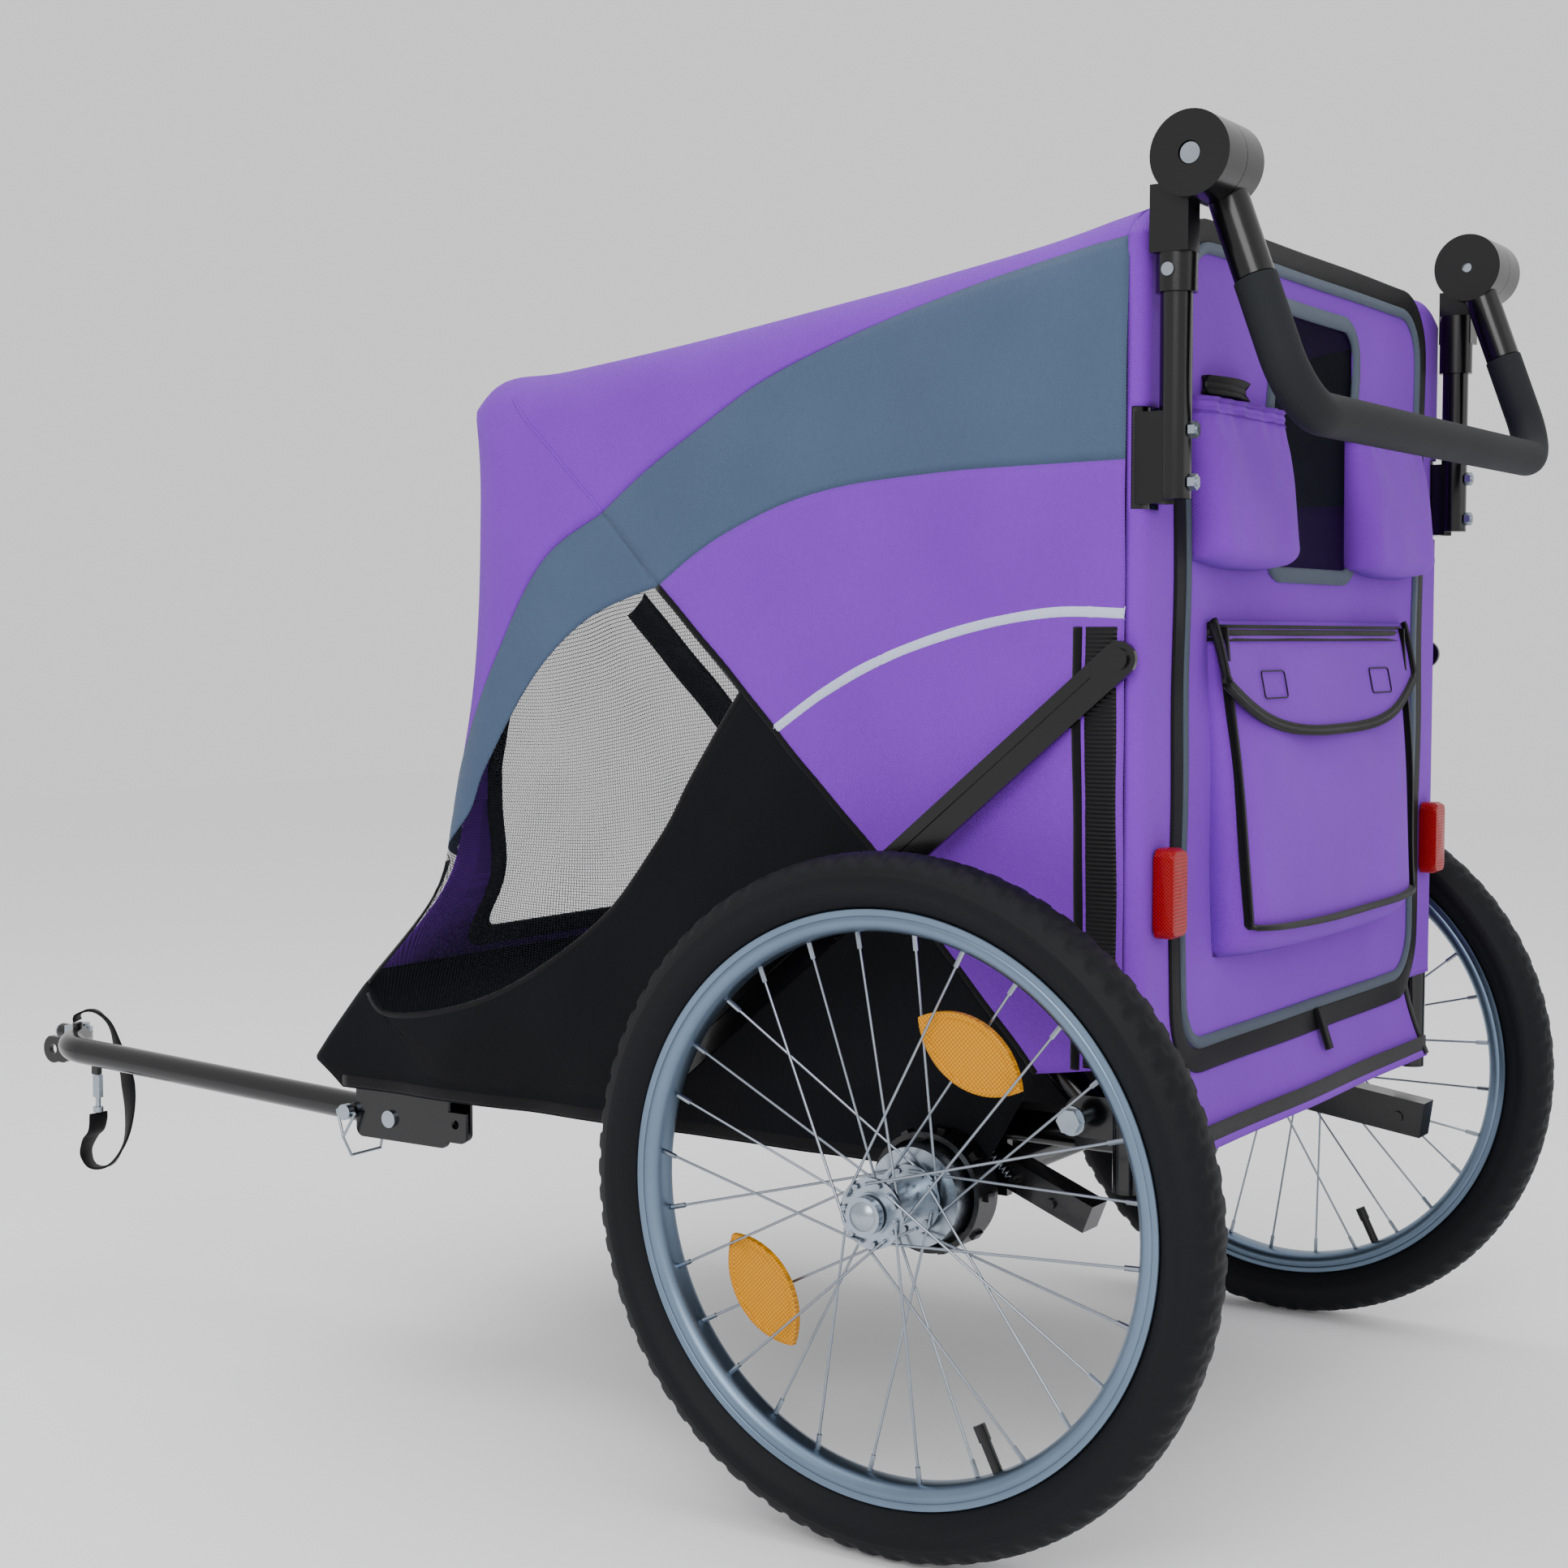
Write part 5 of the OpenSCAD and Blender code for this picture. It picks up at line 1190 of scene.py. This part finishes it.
def tread(angle, r, y):
    """Knobs: square-edged waves round the tyre, staggered from one row to the next."""
    row = np.abs(y)
    shoulder = steep(np.sin(angle * 78 + 1.2 * np.sign(y)) + 0.25) * np.exp(-(((row - 0.0135) / 0.0052) ** 6))
    centre = steep(np.sin(angle * 156 + 1.5) + 0.5) * np.exp(-((row / 0.0058) ** 6))
    return np.where(r > 0.236, 0.0009 * (shoulder + 0.55 * centre) - 0.0009, 0.0)


RIM_OUT = [(0.2105, 0.0135), (0.2100, 0.0140), (0.2060, 0.0140), (0.2052, 0.0134), (0.2044, 0.0140),
           (0.2005, 0.0138), (0.1975, 0.0122), (0.1945, 0.0085), (0.1936, 0.0045)]
RIM_WELL = [(0.2020, 0.0050), (0.2040, 0.0100), (0.2068, 0.0118), (0.2100, 0.0122)]
RIM_SECTION = RIM_OUT + mirrored(RIM_OUT) + mirrored(RIM_WELL) + RIM_WELL
print("rim section points", len(RIM_SECTION))

# %% [markdown]
# ### Spokes
# Spokes leave the hub's two flanges in turn, each leaning forward or back so that they cross. Each has a
# bend and a head at the flange and a nipple at the rim.

# %% Spokes
def spoke_ends():
    """Each spoke's bend, its rim end and its head: heads sit in turn outside and inside a flange."""
    k = np.arange(SPOKES)
    flange = np.where(k % 2 == 0, 1, -1)
    face = np.where((k // 2) % 2 == 0, 1, -1)
    rim_a = np.radians(-(5 + k * 360 / SPOKES))
    hub_a = rim_a + face * np.radians(6 * 360 / SPOKES)
    outer = flange * face > 0
    hub_z = flange * (FLANGE_GAP + np.where(outer, 0.0043, -0.0025))
    hub = np.stack([FLANGE_R * np.cos(hub_a), -FLANGE_R * np.sin(hub_a), hub_z], -1)
    rim_z = flange * 0.0025 + face * 0.0013
    rim = np.stack([SPOKE_END * np.cos(rim_a), -SPOKE_END * np.sin(rim_a), rim_z], -1)
    head = hub.copy()
    head[:, 2] = flange * (FLANGE_GAP + np.where(outer, -0.0026, 0.0034))
    return hub, rim, head


def wheel_points(local, s):
    """Wheel points (forward, up, outward) placed on the left or right."""
    return np.stack([local[:, 0], s * (WHEEL_Y + local[:, 2]), AXLE_Z + local[:, 1]], -1)


print("spokes in a wheel", SPOKES)

# %% [markdown]
# ### Spoke reflectors
# Each wheel carries two amber reflectors between its spokes, pointed ovals on nearly opposite sides.

# %% Spoke reflectors
AMBER_R, AMBER_TURNS = 0.130, (119, -35)


def oval_reflector(name, s, angle):
    """A pointed oval where two circles cross, its long way round the wheel, rim raised and middle domed."""
    along = 0.0455 * np.sin(np.linspace(-math.pi / 2, math.pi / 2, 33))
    reach = np.sqrt(0.055**2 - along**2) - 0.031
    ring = np.vstack([np.stack([along, reach], -1), np.stack([along[::-1], -reach[::-1]], -1)[1:-1]])
    layers = [(0.0, -0.0036), (0.90, -0.0036), (1.0, -0.0026), (1.0, 0.0026), (0.94, 0.0038),
              (0.86, 0.0038), (0.82, 0.0028), (0.5, 0.0034), (0.0, 0.0036)]
    out = np.array([math.cos(angle), math.sin(angle)])
    round_ = np.array([-out[1], out[0]])
    grid = []
    for size, depth in layers:
        spots = AMBER_R * out + size * (ring[:, :1] * round_ + ring[:, 1:] * out)
        grid.append(wheel_points(np.concatenate([spots, np.full((len(ring), 1), depth)], 1), s))
    return outward(surface(name, np.array(grid), wrap_v=True, caps=True))


print("reflectors in a wheel", len(AMBER_TURNS))

# %% [markdown]
# ### Both wheels
# The four kinds of spoke part are one object, so that a wheel is only tyre, rim, spokes and ambers.

# %% Both wheels
def make_wheel(side):
    """Tyre, rim, spokes with nipples, and reflectors of one wheel."""
    s = 1 if side == "left" else -1
    body = f"wheel_{side}"
    centre = (0.0, s * WHEEL_Y, AXLE_Z)
    tyre = lathe(f"{side} tyre", tyre_section(), centre, 720, tread)
    dress(tyre, rubber, body, [f"tyre_{side}"])
    rim = lathe(f"{side} rim", RIM_SECTION, centre, 240)
    dress(sharpen(rim, 40), alloy, body, [f"rim_{side}"])
    hub, end, head = spoke_ends()
    way = unit(hub - end)
    out = np.sign(head[:, 2:] - hub[:, 2:]) * np.array([[0, 0, 1.0]])
    rods = [("spokes", hub, end, 0.0010, 8),
            ("spoke bends", hub - out * 0.0009, head, 0.00115, 8),
            ("spoke heads", head - out * 0.0002, head + out * 0.0009, 0.0021, 10),
            ("nipples", end - way * 0.0004, end + way * 0.0115, 0.0019, 6)]
    parts = [bars(f"{name} {side}", wheel_points(a, s), wheel_points(b, s), radius, count)
             for name, a, b, radius, count in rods]
    dress(joined(f"{side} spokes", parts), spoke_steel, body, [f"spokes_{side}"])
    ovals = [oval_reflector(f"amber reflector {side} {abs(turn)}", s, math.radians(turn))
             for turn in AMBER_TURNS]
    both = joined(f"{side} amber reflectors", ovals)
    dress(sharpen(both, 40), amber, body, [f"spoke_reflectors_{side}"])
    return len(tyre.data.polygons)


for side in SIDES:
    print(side, "wheel's tyre faces:", make_wheel(side))

# %% [markdown]
# ## The safety strap
# A short loop of flat webbing starts on a stud on top of the tow arm, hangs below the arm and ends at a
# snap hook under it, ready to go round the bicycle's frame. It lies flat at the stud, turns on edge as it
# passes the arm, and hangs flat again in the loop; the width's direction is blended along the way.

# %% Webbing and hook
STRAP_W, STRAP_T = 0.022, 0.0020
strap_points = curve(np.array([  # millimetres
    (1032, 215.5, 268.7), (1032, 215.5, 275), (1019, 208, 279), (995, 209, 269), (975, 215, 248),
    (962, 216, 222), (956, 218, 190), (960, 221, 158), (976, 225, 134), (994, 231, 130), (998, 236, 144),
    (988, 240, 160), (976, 242.6, 170), (972.3, 243, 180), (972, 243, 188)]) / 1000, 6)
strap_path = evenly(strap_points, 90)
FLAT_LOOP = [(0, 1, 0)] * 5
lean = evenly(curve([(-0.5, 0.87, 0), (-0.6, 0.75, 0.1), (-0.88, 0.2, 0.47), (-0.85, 0.15, 0.4),
                     (-0.5, 0.8, 0.1)] + FLAT_LOOP, 12), 90)
strap = outward(sweep("strap webbing", strap_path, np.array(flat(STRAP_W, STRAP_T))[:, ::-1], up=lean))
dress(strap, webbing_black, "tow_arm", ["safety_strap"])
shifted(strap_path[0]).tolist()
shifted(strap_path).tolist()

# %% [markdown]
# ## Latch spring
# A small tension spring pulls the fold latch shut. The CAD rod that stands for it gives its two ends; a
# coil of wire is wound between them, with a straight eye at each end.

# %% Coil
TURNS, COIL_R, WIRE_R, INSET = 13, 0.0024, 0.00045, 0.001
low, high = (np.array(c) + (MIDDLE, 0, 0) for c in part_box("latch_spring"))
middle_y = (low[1] + high[1]) / 2
start = np.array([high[0] - INSET, middle_y, high[2] - INSET])
stop = np.array([low[0] + INSET, middle_y, low[2] + INSET])
t = np.linspace(0, 1, TURNS * 16)
grow = np.clip(np.minimum(t, 1 - t) / 0.06, 0, 1)
way = (stop - start) / np.linalg.norm(stop - start)
across = np.array([0.0, 1.0, 0.0])
winding = (TURN * TURNS * t)[:, None]
around = np.cos(winding) * across + np.sin(winding) * np.cross(way, across)
coil = start + t[:, None] * (stop - start) + (COIL_R * grow)[:, None] * around
spring = outward(sweep("latch spring coil", coil, circle(WIRE_R, 6), up=way))
dress(spring, spoke_steel, "base", ["latch_spring"])
print("spring length", round(float(np.linalg.norm(stop - start)), 3))

# %% [markdown]
# ## Finish the cabin
# Each piece gets its cloth and its CAD body, and the CAD solids it stands for are hidden. The cover rides
# the base; the rear wall and what is sewn on it tilt with the rear hoop.

# %% Dress the cabin
def settle(group, finish, stands_for=()):
    """Every sheet of a group becomes cover; the first one stands for the CAD nodes."""
    for k, obj in enumerate(group):
        cover(obj, finish, stands_for if k == 0 else ())


def sew(group, finish, stands_for=(), body="rear_hoop"):
    """Every piece of a group is sewn to a moving body; the first one stands for the CAD nodes."""
    for k, obj in enumerate(group):
        dress(obj, finish, body, stands_for if k == 0 else ())


settle(sides["side panel"], purple, ["side_panels"])
settle(sides["rear band"], slate, ["side_bands"])
settle(sides["front band"], slate)
settle(sides["side window"], window_net, ["mesh_windows"])
settle(sides["side skirt"], night, ["side_skirts"])
settle([upper_shell], purple, ["roof_cover", "corner_panels", "front_cover"])
settle([front_middle], purple)
settle([lower_front], night)
settle([front_net], window_net)
settle([front_trim] + trims["seams"] + trims["hem"], binding_black)
settle(trims["arc"], piping_white)
settle(trims["band_seam"], slate)
settle(trims["roof_seam"], purple)
settle(trims["zip"], zip_black)

sew([rear_wall], purple, ["rear_cover", "rear_door"])
sew([rear_window], rear_net, ["rear_window_mesh"])
sew([pocket], purple, ["rear_pocket"])
sew(pouches, purple, ["bottle_pouches"])
sew([sharpen(obj, 40) for obj in rear_reds], red, ["rear_reflectors"])
sew([window_piping, door_piping], piping_grey)
sew([door_zip], zip_black)
sew([rear_hem, pocket_rim, pocket_trim, hang_loop, zip_pull] + side_hems, binding_black)
sew(pouch_rims, purple)
sew([flap_piece], purple, ["pocket_flap"], "pocket_flap")
sew([flap_trim] + stitching, binding_black, body="pocket_flap")

# %% [markdown]
# ## Floor and light
# A pale studio floor and soft light from above and both sides, bright enough behind the cabin that the
# netting reads as netting.

# %% Stage
def area_light(name, place, toward, size, power):
    """A square soft light at a place, facing a direction."""
    light = bpy.data.lights.new(name, "AREA")
    light.size, light.energy = size, power
    obj = bpy.data.objects.new(name, light)
    bpy.context.scene.collection.objects.link(obj)
    aim(obj, place, toward)


FLOOR_HALF, FLOOR_Z, SKY = 7.0, -0.0005, 1.0
ends = (-FLOOR_HALF, FLOOR_HALF)
floor = surface("floor", np.array([[(x, y, FLOOR_Z) for y in ends] for x in ends]))
floor_finish = Finish("pale studio floor", roughness=0.9, specular_ior_level=0.1,
                      base_color=linear(250, 250, 252))
floor.data.materials.append(floor_finish.material)
world = bpy.data.worlds.new("studio")
world.use_nodes = True
background = world.node_tree.nodes["Background"]
background.inputs["Color"].default_value = (1.0, 1.0, 1.0, 1.0)
background.inputs["Strength"].default_value = SKY
bpy.context.scene.world = world
area_light("key", (-1.2, 3.6, 2.6), (1.4, -3.2, -2.2), 2.2, 90)
area_light("fill", (-3.6, -0.6, 1.8), (3.4, 0.7, -1.4), 2.5, 12)
area_light("top", (0.3, 0.2, 3.2), (0, 0, -1), 3.0, 45)
print("lights", len(bpy.data.lights))
